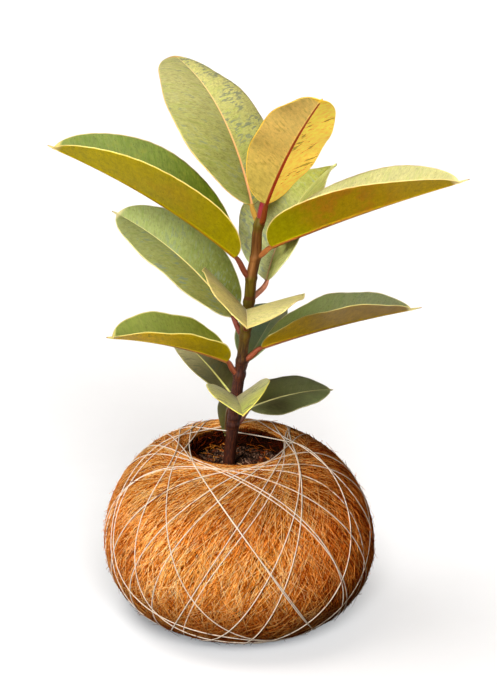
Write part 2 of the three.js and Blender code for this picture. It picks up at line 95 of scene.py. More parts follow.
STEM_LINE = [
    (84, -9.6), (107, -6.7), (132, -4.2), (150, -2.2), (166, -0.2), (184, 2.4),
    (200, 4.3), (218, 6.4), (240, 8.9), (252, 10.6), (265, 12.2), (277, 14),
]
STEM_GIRTH = [(84, 4), (107, 4), (150, 3.9), (190, 3.3), (277, 2.8)]
STEM_BARK = [(84, 0), (190, 0.1), (218, 0.5), (240, 0.65), (277, 0.3)]
STEM_KINKS = [(84, 0), (225, 0), (238, -0.5), (252, 0.6), (267, -0.7), (277, 0)]
STALK_BARK = 0.4
STALK_HEEL = 2.2

# Shape of each leaf, as in the CAD source
# A scratch program fitted most of these values to outlines traced in the photo,
# and they were rounded afterwards.
LEAVES = {
    "leaf_top_left": dict(
        node=273, facing=111, stalk=13, stalk_rise=40, rise=(56, 8), sweep=10,
        length=142, half=36.5, fold=(5, 10), curl=-30, tilt=-13, twist=10,
        shape=(1.8, 0.65, 0.1), wave=(0.8, 3), drip=1, blunt=0.17),
    "leaf_top_yellow": dict(
        node=275, facing=-61, stalk=14, stalk_rise=75, rise=(59, 42), sweep=-2,
        length=108, half=24.5, fold=(27, 22), curl=-14, tilt=11, twist=10,
        shape=(1.8, 0.5, 0.1), wave=(1.1, 3), drip=2),
    "leaf_upper_right": dict(
        node=252, facing=-24, stalk=10, stalk_rise=45, rise=(28, 21), sweep=6,
        length=135, half=32.5, fold=(44, 43), curl=-4, tilt=6, twist=-9,
        shape=(2.2, 0.6, 0.4), wave=(0.3, 2), drip=7),
    "leaf_upper_left": dict(
        node=238, facing=195, stalk=15, stalk_rise=65, rise=(43, 25), sweep=-12,
        length=139, half=39.5, fold=(40, 39), curl=2, tilt=4, twist=-6,
        shape=(2, 0.65, 0.15), wave=(0.3, 2), drip=4),
    "leaf_upper_back": dict(
        node=222, facing=54, stalk=17, stalk_rise=25, rise=(68, 7), sweep=0,
        length=103, half=37.5, fold=(32, 19), curl=-12, tilt=7, twist=8,
        shape=(1.6, 0.75, 0.3), wave=(1, 3), drip=2),
    "leaf_mid_front": dict(
        node=203, facing=-90, stalk=14, stalk_rise=45, rise=(37, -3), sweep=1,
        length=100, half=37.5, fold=(35, 29), curl=-6, tilt=15, twist=-6,
        shape=(2.2, 0.55, -0.05), wave=(1.2, 3), drip=1.5),
    "leaf_mid_left": dict(
        node=198, facing=147, stalk=11, stalk_rise=65, rise=(47, 22), sweep=13,
        length=104, half=27.5, fold=(22, 20), curl=-16, tilt=6, twist=16,
        shape=(2.4, 0.6, 0.05), wave=(0.6, 3), drip=4),
    "leaf_mid_right": dict(
        node=181, facing=-10, stalk=12, stalk_rise=45, rise=(23, 11), sweep=9,
        length=101, half=29.5, fold=(36, 34), curl=-4, tilt=3, twist=5,
        shape=(1.8, 0.65, 0.1), wave=(0.6, 3), drip=7),
    "leaf_low_left": dict(
        node=172, facing=202, stalk=9, stalk_rise=65, rise=(28, 10), sweep=-1,
        length=83, half=21, fold=(46, 45), curl=8, tilt=1, twist=17,
        shape=(2.4, 0.5, 0.2), wave=(0.6, 3), drip=4),
    "leaf_low_back_right": dict(
        node=170, facing=64, stalk=7, stalk_rise=40, rise=(22, 25), sweep=2,
        length=56, half=18.5, fold=(36, 37), curl=-2, tilt=-3, twist=5,
        shape=(2.4, 0.55, -0.05), wave=(0.4, 2), drip=1.5),
    "leaf_low_back_left": dict(
        node=150, facing=117, stalk=4, stalk_rise=55, rise=(17, 11), sweep=7,
        length=76, half=14, fold=(31, 25), curl=-10, tilt=14, twist=2,
        shape=(2.2, 0.6, 0), wave=(0.4, 2), drip=2),
    "leaf_low_front": dict(
        node=148, facing=-86, stalk=15, stalk_rise=50, rise=(15, 8), sweep=0,
        length=64, half=25, fold=(36, 37), curl=-2, tilt=-1, twist=-5,
        shape=(2.2, 0.6, 0), wave=(0.5, 2), drip=2),
    "leaf_lowest_back": dict(
        node=141, facing=107, stalk=5, stalk_rise=55, rise=(-43, -72), sweep=-12,
        length=35, half=9.5, fold=(40, 44), curl=4, tilt=-9, twist=-10,
        shape=(2.4, 0.55, 0.05), wave=(0.3, 2), drip=1.5),
    "leaf_low_right": dict(
        node=136, facing=16, stalk=10, stalk_rise=55, rise=(19, -2), sweep=-5,
        length=56, half=24, fold=(14, 17), curl=-22, tilt=-10, twist=11,
        shape=(2.2, 0.65, 0.05), wave=(0.5, 2), drip=2),
}

# Colours of each leaf, as 0 to 255 screen values. top and under each give the
# left half near the root, the right half near the root, the left half near the
# tip and the right half near the tip. rib gives the midrib above at root and
# tip, then below at root and tip. flecks is how much of the left and right half
# carries flecks, in the colour fleck.
# Most of these colours were worked out by a scratch program, which compared the median colour of each
# part of a leaf in a render with the same part of the photo.
# They were rounded to fives afterwards.
# Painted light and shade: the colours of the two halves and of root and tip also hold the light and shade
# that fall there, so a half turned from the light is painted darker.
LOOKS = {
    "leaf_top_left": dict(
        top=[(145, 145, 75), (165, 165, 85), (190, 185, 120), (220, 215, 135)],
        under=[(150, 140, 60), (150, 140, 60), (170, 160, 80), (170, 160, 80)],
        rib=[(235, 170, 110), (240, 215, 150), (190, 120, 60), (190, 160, 90)],
        margin=(240, 200, 125), stalk=(190, 145, 60), flecks=(0.2, 1), fleck=(110, 120, 110),
        grain=1),
    "leaf_top_yellow": dict(
        top=[(190, 170, 80), (190, 170, 80), (215, 190, 90), (215, 190, 90)],
        under=[(250, 210, 90), (195, 170, 80), (255, 220, 90), (220, 185, 100)],
        rib=[(200, 140, 80), (220, 180, 100), (140, 45, 20), (150, 60, 25)],
        margin=(250, 205, 65), stalk=(120, 55, 20), flecks=(0.3, 0.15), fleck=(120, 110, 25),
        blush=(205, 130, 70, 0.15), glow=0.3),
    "leaf_upper_right": dict(
        top=[(210, 205, 140), (210, 205, 140), (195, 190, 130), (195, 190, 130)],
        under=[(160, 150, 0), (160, 150, 0), (200, 165, 0), (200, 165, 0)],
        rib=[(230, 190, 140), (235, 210, 150), (150, 85, 30), (185, 145, 45)],
        margin=(240, 220, 150), stalk=(150, 90, 45), flecks=(0.1, 0.1), fleck=(150, 140, 50),
        blush=(180, 110, 20, 0.75)),
    "leaf_upper_left": dict(
        top=[(95, 110, 20), (95, 110, 20), (130, 145, 75), (130, 145, 75)],
        under=[(170, 155, 0), (170, 155, 0), (200, 180, 0), (200, 180, 0)],
        rib=[(210, 170, 110), (220, 190, 120), (150, 110, 10), (175, 150, 10)],
        margin=(240, 215, 130), stalk=(110, 55, 35), flecks=(0.1, 0.1), fleck=(140, 125, 40),
        blush=(165, 110, 5, 0.3)),
    "leaf_upper_back": dict(
        top=[(210, 215, 150), (185, 185, 105), (190, 190, 90), (250, 250, 135)],
        under=[(100, 95, 30), (100, 95, 30), (110, 105, 30), (110, 105, 30)],
        rib=[(240, 210, 160), (220, 220, 140), (140, 90, 50), (130, 110, 50)],
        margin=(225, 220, 160), stalk=(205, 135, 105), flecks=(0.3, 0.1), fleck=(150, 165, 150)),
    "leaf_mid_front": dict(
        top=[(200, 190, 110), (125, 130, 55), (230, 220, 150), (205, 190, 120)],
        under=[(180, 130, 50), (180, 130, 50), (195, 150, 70), (195, 150, 70)],
        rib=[(250, 240, 215), (250, 240, 200), (150, 80, 40), (150, 80, 40)],
        margin=(230, 210, 130), stalk=(120, 60, 30), flecks=(0.1, 0.1), fleck=(180, 170, 110)),
    "leaf_mid_left": dict(
        top=[(145, 145, 75), (100, 105, 40), (155, 160, 95), (165, 175, 105)],
        under=[(110, 105, 40), (110, 105, 40), (130, 120, 50), (130, 120, 50)],
        rib=[(215, 195, 120), (220, 210, 140), (130, 70, 40), (130, 90, 40)],
        margin=(220, 210, 150), stalk=(110, 50, 35), flecks=(0.3, 0.15), fleck=(115, 130, 120), gloss=0.2),
    "leaf_mid_right": dict(
        top=[(105, 115, 60), (105, 115, 60), (110, 115, 80), (110, 115, 80)],
        under=[(190, 155, 10), (190, 155, 10), (155, 120, 0), (155, 120, 0)],
        rib=[(190, 170, 120), (190, 170, 120), (130, 70, 35), (130, 105, 40)],
        margin=(205, 190, 120), stalk=(130, 65, 40), flecks=(0.1, 0.1), fleck=(85, 75, 30), gloss=0.2),
    "leaf_low_left": dict(
        top=[(100, 105, 25), (100, 105, 25), (130, 140, 60), (130, 140, 60)],
        under=[(155, 135, 0), (155, 135, 0), (250, 215, 30), (250, 215, 30)],
        rib=[(200, 180, 110), (200, 180, 110), (140, 85, 40), (160, 125, 55)],
        margin=(220, 205, 120), stalk=(120, 60, 35), flecks=(0.15, 0.15), fleck=(110, 110, 50), gloss=0.2),
    "leaf_low_back_right": dict(
        top=[(95, 105, 65), (110, 140, 80), (105, 125, 105), (125, 130, 100)],
        under=[(80, 85, 50), (80, 85, 50), (90, 90, 55), (90, 90, 55)],
        rib=[(160, 160, 120), (160, 160, 120), (110, 70, 40), (110, 80, 40)],
        margin=(140, 145, 95), stalk=(90, 45, 30), flecks=(0.1, 0.1), fleck=(60, 70, 55), gloss=0.4),
    "leaf_low_back_left": dict(
        top=[(85, 80, 50), (65, 60, 25), (200, 190, 135), (135, 130, 90)],
        under=[(90, 85, 45), (90, 85, 45), (100, 90, 50), (100, 90, 50)],
        rib=[(210, 205, 120), (200, 195, 110), (120, 70, 40), (120, 80, 40)],
        margin=(170, 165, 95), stalk=(90, 45, 30), flecks=(0.2, 0.2), fleck=(70, 80, 60), gloss=0.4),
    "leaf_low_front": dict(
        top=[(185, 180, 140), (215, 220, 175), (205, 210, 110), (225, 225, 140)],
        under=[(110, 105, 45), (110, 105, 45), (130, 120, 55), (130, 120, 55)],
        rib=[(205, 200, 150), (220, 215, 130), (120, 70, 40), (120, 80, 40)],
        margin=(225, 210, 90), stalk=(90, 45, 30), flecks=(0.3, 0.3), fleck=(95, 100, 85), gloss=0.4),
    "leaf_lowest_back": dict(
        top=[(60, 70, 35), (60, 70, 35), (65, 75, 40), (65, 75, 40)],
        under=[(60, 60, 15), (60, 60, 15), (80, 90, 40), (80, 90, 40)],
        rib=[(130, 130, 75), (130, 130, 75), (100, 60, 35), (100, 70, 35)],
        margin=(110, 110, 60), stalk=(100, 50, 35), flecks=(0.1, 0.1), fleck=(50, 55, 25), gloss=0.4),
    "leaf_low_right": dict(
        top=[(55, 55, 20), (105, 110, 70), (90, 95, 60), (100, 110, 70)],
        under=[(80, 75, 35), (80, 75, 35), (90, 85, 45), (90, 85, 45)],
        rib=[(190, 185, 125), (180, 170, 110), (110, 60, 35), (110, 70, 35)],
        margin=(140, 135, 80), stalk=(90, 45, 30), flecks=(0.1, 0.1), fleck=(50, 50, 30), gloss=0.4),
}

# Loops of string. Each lies near a plane: the turn and tilt of the line square
# to it, its distance from the ball's middle, how far the string sways to both
# sides of it twice and three times round, and the string's height on the ball
# A scratch program fitted these values to lines traced in the photo, and they
# were rounded to a half afterwards.
LOOPS = [
    (313.5, 42.5, 12.5, 0.5, -12, 12.5, 6, 0.85),
    (159.5, -34.5, -10, 6.5, 1, 3, -1, 0.85),
    (16, 35.5, 7, -3.5, -4.5, -2, -1, 0.85),
    (10.5, 28.5, 10.5, 2, 5.5, 0.5, 2.5, 0.95),
    (163, 26.5, 3, 0, -5.5, 0, 1.5, 0.85),
    (346.5, -28, -1.5, 2, -0.5, 5, 0.5, 0.45),
    (192.5, 34, 9, -3.5, 1, 2, 0, 0.85),
    (194, 26.5, -4.5, 0.5, 5.5, -0.5, -3, 0.85),
    (54.5, 28.5, -6, -5.5, 0, -2, 2.5, 0.85),
    (46.5, 23.5, -3, 1.5, -1.5, -2, 2.5, 0.95),
    (78.5, 23.5, -15, -5, 2, -1.5, 2, 0.85),
    (133, -39.5, -3.5, 5.5, 3, 14, 5, 0.85),
    (107, 26.5, -5.5, -2, 0, 0, 2.5, 0.85),
    (124, 25.5, -8, -5, 2.5, 4.5, 0.5, 0.85),
    (146, 20, -2.5, 4, -1.5, 2.5, 1, 0.85),
    (84.5, 9, -26, -3, 1.5, 2, 8, 0.5),
    (240.5, 23.5, 16.5, 4.5, -9.5, -4, 0, 0.85),
    (66.5, -15.5, 13.5, 1.5, 6, -13, -8, 0.85),
    (247.5, 44.5, -1.5, 0.5, -0.5, 1, -1, 0.85),
    (296, 21.5, -2, -0.5, 0.5, 1, 0.5, 0.85),
]


# Small vector helpers

def unit(vectors):
    return vectors / np.linalg.norm(vectors, axis=-1, keepdims=True)


def smooth(value, low, high):
    t = np.clip((value - low) / (high - low), 0, 1)
    return t * t * (3 - 2 * t)


def bend_noise(points, scale, seed=0.0):
    """Smooth noise from -1 to 1 at each point, for features scale mm apart."""
    shift = Vector((seed, 1.7 * seed, -seed))
    return np.array([noise.noise(Vector(p) / scale + shift) for p in points.reshape(-1, 3)])


# Meshes

def mesh_object(name, points, faces, layers=None):
    """A smooth-shaded object from points in mm, with vector layers per vertex."""
    mesh = bpy.data.meshes.new(name)
    faces = np.asarray(faces, np.int32)
    size = faces.shape[1]
    mesh.vertices.add(len(points))
    mesh.vertices.foreach_set("co", (np.asarray(points) * MM).astype(np.float32).ravel())
    mesh.loops.add(faces.size)
    mesh.loops.foreach_set("vertex_index", faces.ravel())
    mesh.polygons.add(len(faces))
    mesh.polygons.foreach_set("loop_start", np.arange(0, faces.size, size, dtype=np.int32))
    mesh.update(calc_edges=True)
    mesh.shade_smooth()
    for key, values in (layers or {}).items():
        layer = mesh.attributes.new(key, "FLOAT_VECTOR", "POINT")
        layer.data.foreach_set("vector", np.asarray(values, np.float32).ravel())
    made = bpy.data.objects.new(name, mesh)
    bpy.context.scene.collection.objects.link(made)
    return made


def ring_faces(rings, count, closed=False):
    """Triangles over rings of count points, capped by a fan at both ends if open."""
    i = np.arange(rings if closed else rings - 1)[:, None]
    j = np.arange(count)[None, :]
    a = i * count + j
    b = i * count + (j + 1) % count
    c = (i + 1) % rings * count + (j + 1) % count
    d = (i + 1) % rings * count + j
    sides = [np.stack([a, b, c], -1).reshape(-1, 3), np.stack([a, c, d], -1).reshape(-1, 3)]
    if closed:
        return np.concatenate(sides)
    near = np.arange(1, count - 1)
    last = (rings - 1) * count
    start = np.stack([near * 0, near + 1, near], -1)
    end = np.stack([near * 0 + last, near + last, near + 1 + last], -1)
    return np.concatenate(sides + [start, end])


def facing_out(points, faces):
    """The faces turned so that they enclose a positive volume."""
    a, b, c = (points[faces[:, k]] for k in range(3))
    volume = np.einsum("ij,ij->i", a, np.cross(b, c)).sum()
    return faces if volume > 0 else faces[:, ::-1]


def lofted(name, rings, layers=None, closed=False):
    """A closed piece from an array of rings, (rings, points in a ring, 3)."""
    points = rings.reshape(-1, 3)
    faces = facing_out(points, ring_faces(rings.shape[0], rings.shape[1], closed))
    flat = {key: values.reshape(-1, 3) for key, values in (layers or {}).items()}
    return mesh_object(name, points, faces, flat)


def tubes(paths, radii, outward, sides=3):
    """Points and faces of many thin tubes, from paths (tubes, steps, 3)."""
    count, steps, _ = paths.shape
    ahead = unit(np.gradient(paths, axis=1))
    side = unit(np.cross(ahead, outward))
    up = np.cross(side, ahead)
    turn = 2 * np.pi * np.arange(sides) / sides
    around = side[:, :, None] * np.cos(turn)[:, None] + up[:, :, None] * np.sin(turn)[:, None]
    points = paths[:, :, None] + around * radii[:, :, None, None]
    one = ring_faces(steps, sides)
    first = facing_out(points[0].reshape(-1, 3), one)
    shift = (np.arange(count) * steps * sides)[:, None, None]
    return points.reshape(-1, 3), (first[None] + shift).reshape(-1, 3)


# Materials

def paint(colour):
    """Linear colour from 0 to 255 screen values."""
    values = np.asarray(colour[:3], float) / 255
    linear = np.where(values <= 0.04045, values / 12.92, ((values + 0.055) / 1.055) ** 2.4)
    return (*[float(v) for v in linear], 1.0)


class Graph:
    """Builds the nodes of one material."""

    def __init__(self, name, roughness, **sockets):
        self.material = bpy.data.materials.new(name)
        self.material.use_nodes = True
        self.nodes = self.material.node_tree.nodes
        self.links = self.material.node_tree.links
        self.nodes.clear()
        output = self.nodes.new("ShaderNodeOutputMaterial")
        self.shader = self.nodes.new("ShaderNodeBsdfPrincipled")
        self.links.new(self.shader.outputs[0], output.inputs[0])
        self.shader.inputs["Roughness"].default_value = roughness
        for key, value in sockets.items():
            self.shader.inputs[key.replace("_", " ")].default_value = value

    def put(self, socket, value):
        if isinstance(value, bpy.types.NodeSocket):
            self.links.new(value, socket)
        else:
            socket.default_value = value

    def node(self, kind, inputs, output=0, **settings):
        made = self.nodes.new("ShaderNode" + kind)
        for key, value in settings.items():
            setattr(made, key, value)
        for key, value in inputs.items():
            self.put(made.inputs[key], value)
        return made.outputs[output]

    def math(self, operation, a, b=0.0):
        return self.node("Math", {0: a, 1: b}, operation=operation)

    def add(self, a, b):
        return self.math("ADD", a, b)

    def times(self, a, b):
        return self.math("MULTIPLY", a, b)

    def size(self, a):
        return self.math("ABSOLUTE", a)

    def scaled(self, colour, value):
        return self.node("VectorMath", {0: colour, 3: value}, operation="SCALE")

    def mix_value(self, factor, a, b):
        return self.add(self.times(factor, b - a), a)

    def step(self, value, low, high):
        """0 below low, 1 above high and smooth between; reversed if low > high."""
        span = {"From Min": low, "From Max": high, "To Min": 0.0, "To Max": 1.0}
        return self.node("MapRange", {"Value": value, **span}, interpolation_type="SMOOTHSTEP")

    def mix(self, factor, a, b, blend="MIX"):
        made = self.nodes.new("ShaderNodeMix")
        made.data_type = "RGBA"
        made.blend_type = blend
        for key, value in ((0, factor), (6, a), (7, b)):
            self.put(made.inputs[key], value)
        return made.outputs[2]

    def vector(self, x, y, z):
        return self.node("CombineXYZ", {0: x, 1: y, 2: z})

    def layer(self, name):
        """The three values of a vector layer."""
        read = self.node("Attribute", {}, output="Vector", attribute_name=name)
        made = self.nodes.new("ShaderNodeSeparateXYZ")
        self.put(made.inputs[0], read)
        return made.outputs[0], made.outputs[1], made.outputs[2]

    def noise(self, vector, scale=1.0, detail=3.0, roughness=0.55):
        inputs = {"Vector": vector, "Scale": scale, "Detail": detail, "Roughness": roughness}
        return self.node("TexNoise", inputs)

    def ramp(self, value, stops):
        made = self.nodes.new("ShaderNodeValToRGB")
        self.put(made.inputs[0], value)
        points = made.color_ramp.elements
        while len(points) < len(stops):
            points.new(0.5)
        for point, (place, colour) in zip(points, stops):
            point.position = place
            point.color = paint(colour)
        return made.outputs[0]

    def bump(self, height, distance, strength=1.0):
        inputs = {"Strength": strength, "Distance": distance * MM, "Height": height}
        self.put(self.shader.inputs["Normal"], self.node("Bump", inputs))

    def colour(self, value):
        self.put(self.shader.inputs["Base Color"], value)


def finish_piece(piece, material, slot, *nodes):
    """Gives a piece its material and body, and hides the CAD nodes it replaces."""
    piece.data.materials.append(material)
    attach(piece, "root")
    if nodes:
        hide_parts(*nodes)
    return piece


# Outline of the ball

def lower_outline(steps=46):
    pressed = [(FOOT_RADIUS, 0), (22.5, 2.3), (34, 2.6), (46, 2.9), (56, 3.6)]
    angle = np.radians(np.linspace(57, 0, steps))
    radius = BALL_RADIUS * np.cos(angle) ** 0.62
    height = BELT_HEIGHT * (1 - np.sin(angle) / math.sin(math.radians(68.8)))
    return np.concatenate([pressed, np.stack([radius, height], -1)])


def upper_outline(steps=60):
    angle = np.linspace(0, np.pi / 2, steps + 1)[1:]
    out = np.maximum(0, np.cos(angle)) ** 1.25
    radius = CREST_RADIUS + (BALL_RADIUS - CREST_RADIUS) * out
    height = BELT_HEIGHT + (CREST_HEIGHT - BELT_HEIGHT) * np.sin(angle) ** 1.02
    return np.stack([radius, height], -1)


OUTLINE = np.concatenate([lower_outline(), upper_outline()])


def shrunk(scale):
    kept = OUTLINE[6:-1:6]
    return np.stack([kept[:, 0] * scale, BELT_HEIGHT + (kept[:, 1] - BELT_HEIGHT) * scale], -1)


def lean_at(height):
    return BALL_LEAN * (height - LEAN_HEIGHT)


def leaned(points):
    moved = points.copy()
    moved[..., 0] += lean_at(points[..., 2])
    return moved


def reach(rise):
    """Distance from the ball's middle to its surface at an angle above level."""
    bridged = np.concatenate([[(0, 0)], OUTLINE, [(0, CREST_HEIGHT)]])
    angles = np.arctan2(bridged[:, 1] - BELT_HEIGHT, bridged[:, 0])
    fine = np.linspace(0, len(bridged) - 1, 4000)
    radius = np.interp(fine, np.arange(len(bridged)), bridged[:, 0])
    height = np.interp(fine, np.arange(len(bridged)), bridged[:, 1]) - BELT_HEIGHT
    angles = np.arctan2(height, radius)
    return np.interp(rise, angles, np.hypot(radius, height))


def on_ball(directions, lift):
    """Points at a height above the ball's surface, seen from its middle."""
    rise = np.arcsin(np.clip(directions[..., 2], -1, 1))
    points = directions * (reach(rise) + lift)[..., None]
    points[..., 2] += BELT_HEIGHT
    return leaned(points)


def winding(directions, hand):
    """Turn of the great circle that a fibre follows at each direction."""
    level = np.maximum(1e-6, np.hypot(directions[..., 0], directions[..., 1]))
    slope = -math.tan(math.radians(WIND_TILT)) * directions[..., 2] / level
    around = np.arctan2(directions[..., 1], directions[..., 0])
    return around + hand * np.arccos(np.clip(slope, -1, 1))


def winding_axis(turn):
    tilt = math.radians(WIND_TILT)
    level = math.cos(tilt)
    return np.stack([level * np.cos(turn), level * np.sin(turn), 0 * turn + math.sin(tilt)], -1)


def winding_hand(directions, rng):
    """Which of the two ways a fibre is wound: one side each, mixed in between."""
    around = np.arctan2(directions[..., 1], directions[..., 0])
    leading = np.sin(around + math.radians(65))
    return np.where(leading + rng.normal(0, 0.35, around.shape) > 0, 1.0, -1.0)


# Coconut fibre

def coir_profile():
    neck = [(38.4, 119.9), (37.2, 119.8), (35.2, 119.4), (33.6, 118.8), (RIM_RADIUS, RIM_HEIGHT),
            (32, 116), (31.9, 113.5), (31.9, 111.5)]
    return np.concatenate([OUTLINE, neck, shrunk(WALL_SCALE)[::-1]])


def coir_ball():
    profile = coir_profile()
    turn = 2 * np.pi * np.arange(BALL_COLUMNS) / BALL_COLUMNS
    radius, height = profile[:, :1], profile[:, 1:]
    rings = np.stack([radius * np.cos(turn), radius * np.sin(turn), height + 0 * turn], -1)
    middle = np.array([0, 0, BELT_HEIGHT])
    directions = unit(rings - middle)
    layers = {}
    relief = np.zeros(rings.shape[:2])
    for hand, key in ((1, "wind_a"), (-1, "wind_b")):
        way = winding(directions, hand)
        layer = np.stack([90 * np.cos(way), 90 * np.sin(way), 0.12 * height + 0 * turn], -1)
        layers[key] = layer
        streaks = bend_noise(layer, 1.6, hand + 3).reshape(relief.shape)
        lumps = bend_noise(layer, 6.0, hand + 8).reshape(relief.shape)
        relief += 0.35 * streaks + 0.3 * lumps
    outside = (np.arange(len(profile)) < len(OUTLINE) + 8)[:, None]
    depth = np.arange(len(profile))[:, None] - len(OUTLINE) + 0 * turn
    layers["depth"] = np.stack([depth, depth, depth], -1)
    flat = smooth(height, 2.5, 6)
    lift = np.where(outside, relief * flat - 0.25 * flat, 0)
    rings += unit(rings - middle) * lift[..., None]
    piece = lofted("coir_ball", leaned(rings), layers)
    return finish_piece(piece, coir_ball_material(), "coir_wrap", "coir_wrap")


def coir_ball_material():
    if "coir_ball" in bpy.data.materials:
        return bpy.data.materials["coir_ball"]
    g = Graph("coir_ball", 0.95, Specular_IOR_Level=0.0)
    streaks = []
    for key in ("wind_a", "wind_b"):
        x, y, z = g.layer(key)
        streaks.append(g.noise(g.vector(x, y, z), 0.9, 4.0, 0.65))
    place = g.node("TexCoord", {}, output="Object")
    patches = g.noise(place, 60.0, 2.0)
    both = g.mix(g.step(patches, 0.42, 0.58), streaks[0], streaks[1])
    tone = g.node("SeparateColor", {0: both})
    outer = g.ramp(tone, [
        (0.36, (36, 11, 0)), (0.46, (132, 58, 6)), (0.55, (218, 134, 44)), (0.7, (246, 194, 110)),
    ])
    # Painted shade: the inside of the opening is coloured almost black, as it lies in shade.
    inside_shade = g.ramp(tone, [(0.38, (5, 3, 2)), (0.5, (20, 11, 7)), (0.62, (64, 36, 20))])
    depth, _, _ = g.layer("depth")
    g.colour(painted_light_and_shade(g, g.mix(g.step(depth, 2.0, 5.0), outer, inside_shade)))
    g.bump(tone, 0.8)
    return g.material


def painted_light_and_shade(g, colour):
    """Painted light and shade: palest round the ball's front, where the light falls, and darker and
    browner to its top, foot and sides, where shade falls.
    """
    place = g.nodes.new("ShaderNodeSeparateXYZ")
    g.put(place.inputs[0], g.node("TexCoord", {}, output="Object"))
    aside = g.times(place.outputs[0], 1 / MM)
    height = g.times(place.outputs[2], 1 / MM)
    top = g.times(g.step(height, 84.0, 106.0), -0.3)
    foot = g.times(g.step(height, 60.0, 4.0), -0.9)
    right = g.times(g.step(aside, 15.0, 80.0), -0.22)
    left = g.times(g.step(aside, -55.0, -90.0), -0.14)
    light = g.add(g.add(g.add(top, foot), g.add(right, left)), 1.12)
    # Painted shade: the sides, the foot and the top are tinted browner, as in shade.
    brown = g.math("MAXIMUM", g.step(aside, 10.0, 75.0), g.times(g.step(aside, -35.0, -90.0), 0.7))
    brown = g.math("MAXIMUM", brown, g.step(height, 62.0, 12.0))
    brown = g.math("MAXIMUM", brown, g.times(g.step(height, 70.0, 95.0), 0.35))
    return g.mix(brown, g.scaled(colour, light), paint((252, 196, 140)), "MULTIPLY")


def fibre_paths(count, steps, rng, step_length):
    """Fibres that wander along the ball: directions seen from its middle."""
    start = unit(rng.normal(size=(count, 3)))
    start[:, 2] = rng.uniform(-0.75, 0.9, count)
    level = np.sqrt(1 - start[:, 2] ** 2)
    around = rng.uniform(0, 2 * np.pi, count)
    here = np.stack([level * np.cos(around), level * np.sin(around), start[:, 2]], -1)
    hand = winding_hand(here, rng)
    loose = smooth(-here[:, 2], -0.1, 0.6)
    aim = rng.normal(0, 0.22, count) + loose * rng.normal(0, 0.8, count)
    curl = rng.normal(0, 0.05, count) * (1 + 2.5 * loose)
    path = [here]
    for k in range(steps - 1):
        axis = winding_axis(winding(here, hand))
        ahead = unit(np.cross(axis, here))
        side = np.cross(here, ahead)
        turn = aim + curl * k
        move = ahead * np.cos(turn)[:, None] + side * np.sin(turn)[:, None]
        here = unit(here + move * (step_length / 90)[:, None])
        path.append(here)
    return np.stack(path, 1)


def coir_fibres(batch):
    rng = np.random.default_rng(100 + batch)
    count, steps = FIBRES_PER_BATCH, 6
    length = rng.uniform(14, 44, count)
    directions = fibre_paths(count, steps, rng, length / (steps - 1))
    clear = directions[..., 2].max(1) < OPENING_CLEAR
    directions, length, count = directions[clear], length[clear], clear.sum()
    share = np.linspace(-1, 1, steps)
    base = rng.uniform(-0.2, 0.75, count)[:, None]
    stray = (rng.random(count) < 0.12)[:, None] * rng.uniform(0.8, 3.2, (count, 1))
    ends = np.where(rng.random((count, 1)) < 0.5, share > 0, share < 0) * share ** 2
    lift = base + stray * ends + 0.15 * rng.normal(size=(count, steps))
    paths = on_ball(directions, lift)
    paths[..., 2] = np.maximum(paths[..., 2], 0.4)
    thick = rng.uniform(0.1, 0.24, count)[:, None]
    radii = thick * (1 - 0.55 * np.abs(share) ** 3)
    outward = directions
    points, faces = tubes(paths, radii, outward)
    tone = np.repeat(rng.random(count), steps * 3)
    place = np.repeat(rng.uniform(0, 50, count), steps * 3)
    along = np.repeat(length[:, None] * (share + 1) / 2, 3)
    layers = {"fibre": np.stack([tone, place, along], -1)}
    piece = mesh_object(f"coir_fibres_{batch}", points, faces, layers)
    return finish_piece(piece, fibre_material(), "coir_wrap")


def fibre_material():
    if "coir_fibre" in bpy.data.materials:
        return bpy.data.materials["coir_fibre"]
    g = Graph("coir_fibre", 0.8, Specular_IOR_Level=0.06)
    tone, place, along = g.layer("fibre")
    dashes = g.noise(g.vector(g.times(place, 7.0), g.times(along, 0.45), 0.0), 1.0, 2.0)
    mixed = g.add(g.times(tone, 0.68), g.times(g.add(dashes, -0.3), 1.1))
    colour = g.ramp(mixed, [
        (0.1, (74, 22, 1)), (0.3, (172, 74, 8)), (0.48, (238, 152, 50)),
        (0.7, (255, 206, 116)), (0.95, (255, 236, 184)),
    ])
    g.colour(painted_light_and_shade(g, colour))
    return g.material


# Soil

def soil_surface(radius, turn):
    """Height of the crumbly soil at places given by radius and turn."""
    x, y = radius * np.cos(turn), radius * np.sin(turn)
    places = np.stack([x, y, 0 * x], -1)
    coarse = bend_noise(places, 5.0, 2).reshape(x.shape)
    fine = bend_noise(places, 1.7, 5).reshape(x.shape)
    return SOIL_HEIGHT - 1 + 1.6 * coarse + 1.0 * fine


def soil_body():
    turn = 2 * np.pi * np.arange(120) / 120
    under = [point for point in shrunk(SOIL_SCALE) if point[1] < SOIL_HEIGHT - 6]
    rings = [
        np.stack([r * np.cos(turn), r * np.sin(turn), z + 0 * turn], -1) for r, z in under
    ]
    for radius in np.linspace(44, 4, 40):
        z = soil_surface(radius + 0 * turn, turn)
        rings.append(np.stack([radius * np.cos(turn), radius * np.sin(turn), z], -1))
    piece = lofted("soil_body", leaned(np.array(rings)))
    return finish_piece(piece, soil_material(), "soil", "soil")


def soil_material():
    if "potting_soil" in bpy.data.materials:
        return bpy.data.materials["potting_soil"]
    g = Graph("potting_soil", 1.0, Specular_IOR_Level=0.1)
    spot = g.node("TexCoord", {}, output="Object")
    grains = g.noise(spot, 520.0, 4.0, 0.6)
    g.colour(g.ramp(grains, [
        (0.36, (10, 6, 4)), (0.46, (42, 26, 17)), (0.56, (98, 66, 47)), (0.68, (190, 150, 124)),
    ]))
    g.bump(grains, 1.2)
    return g.material


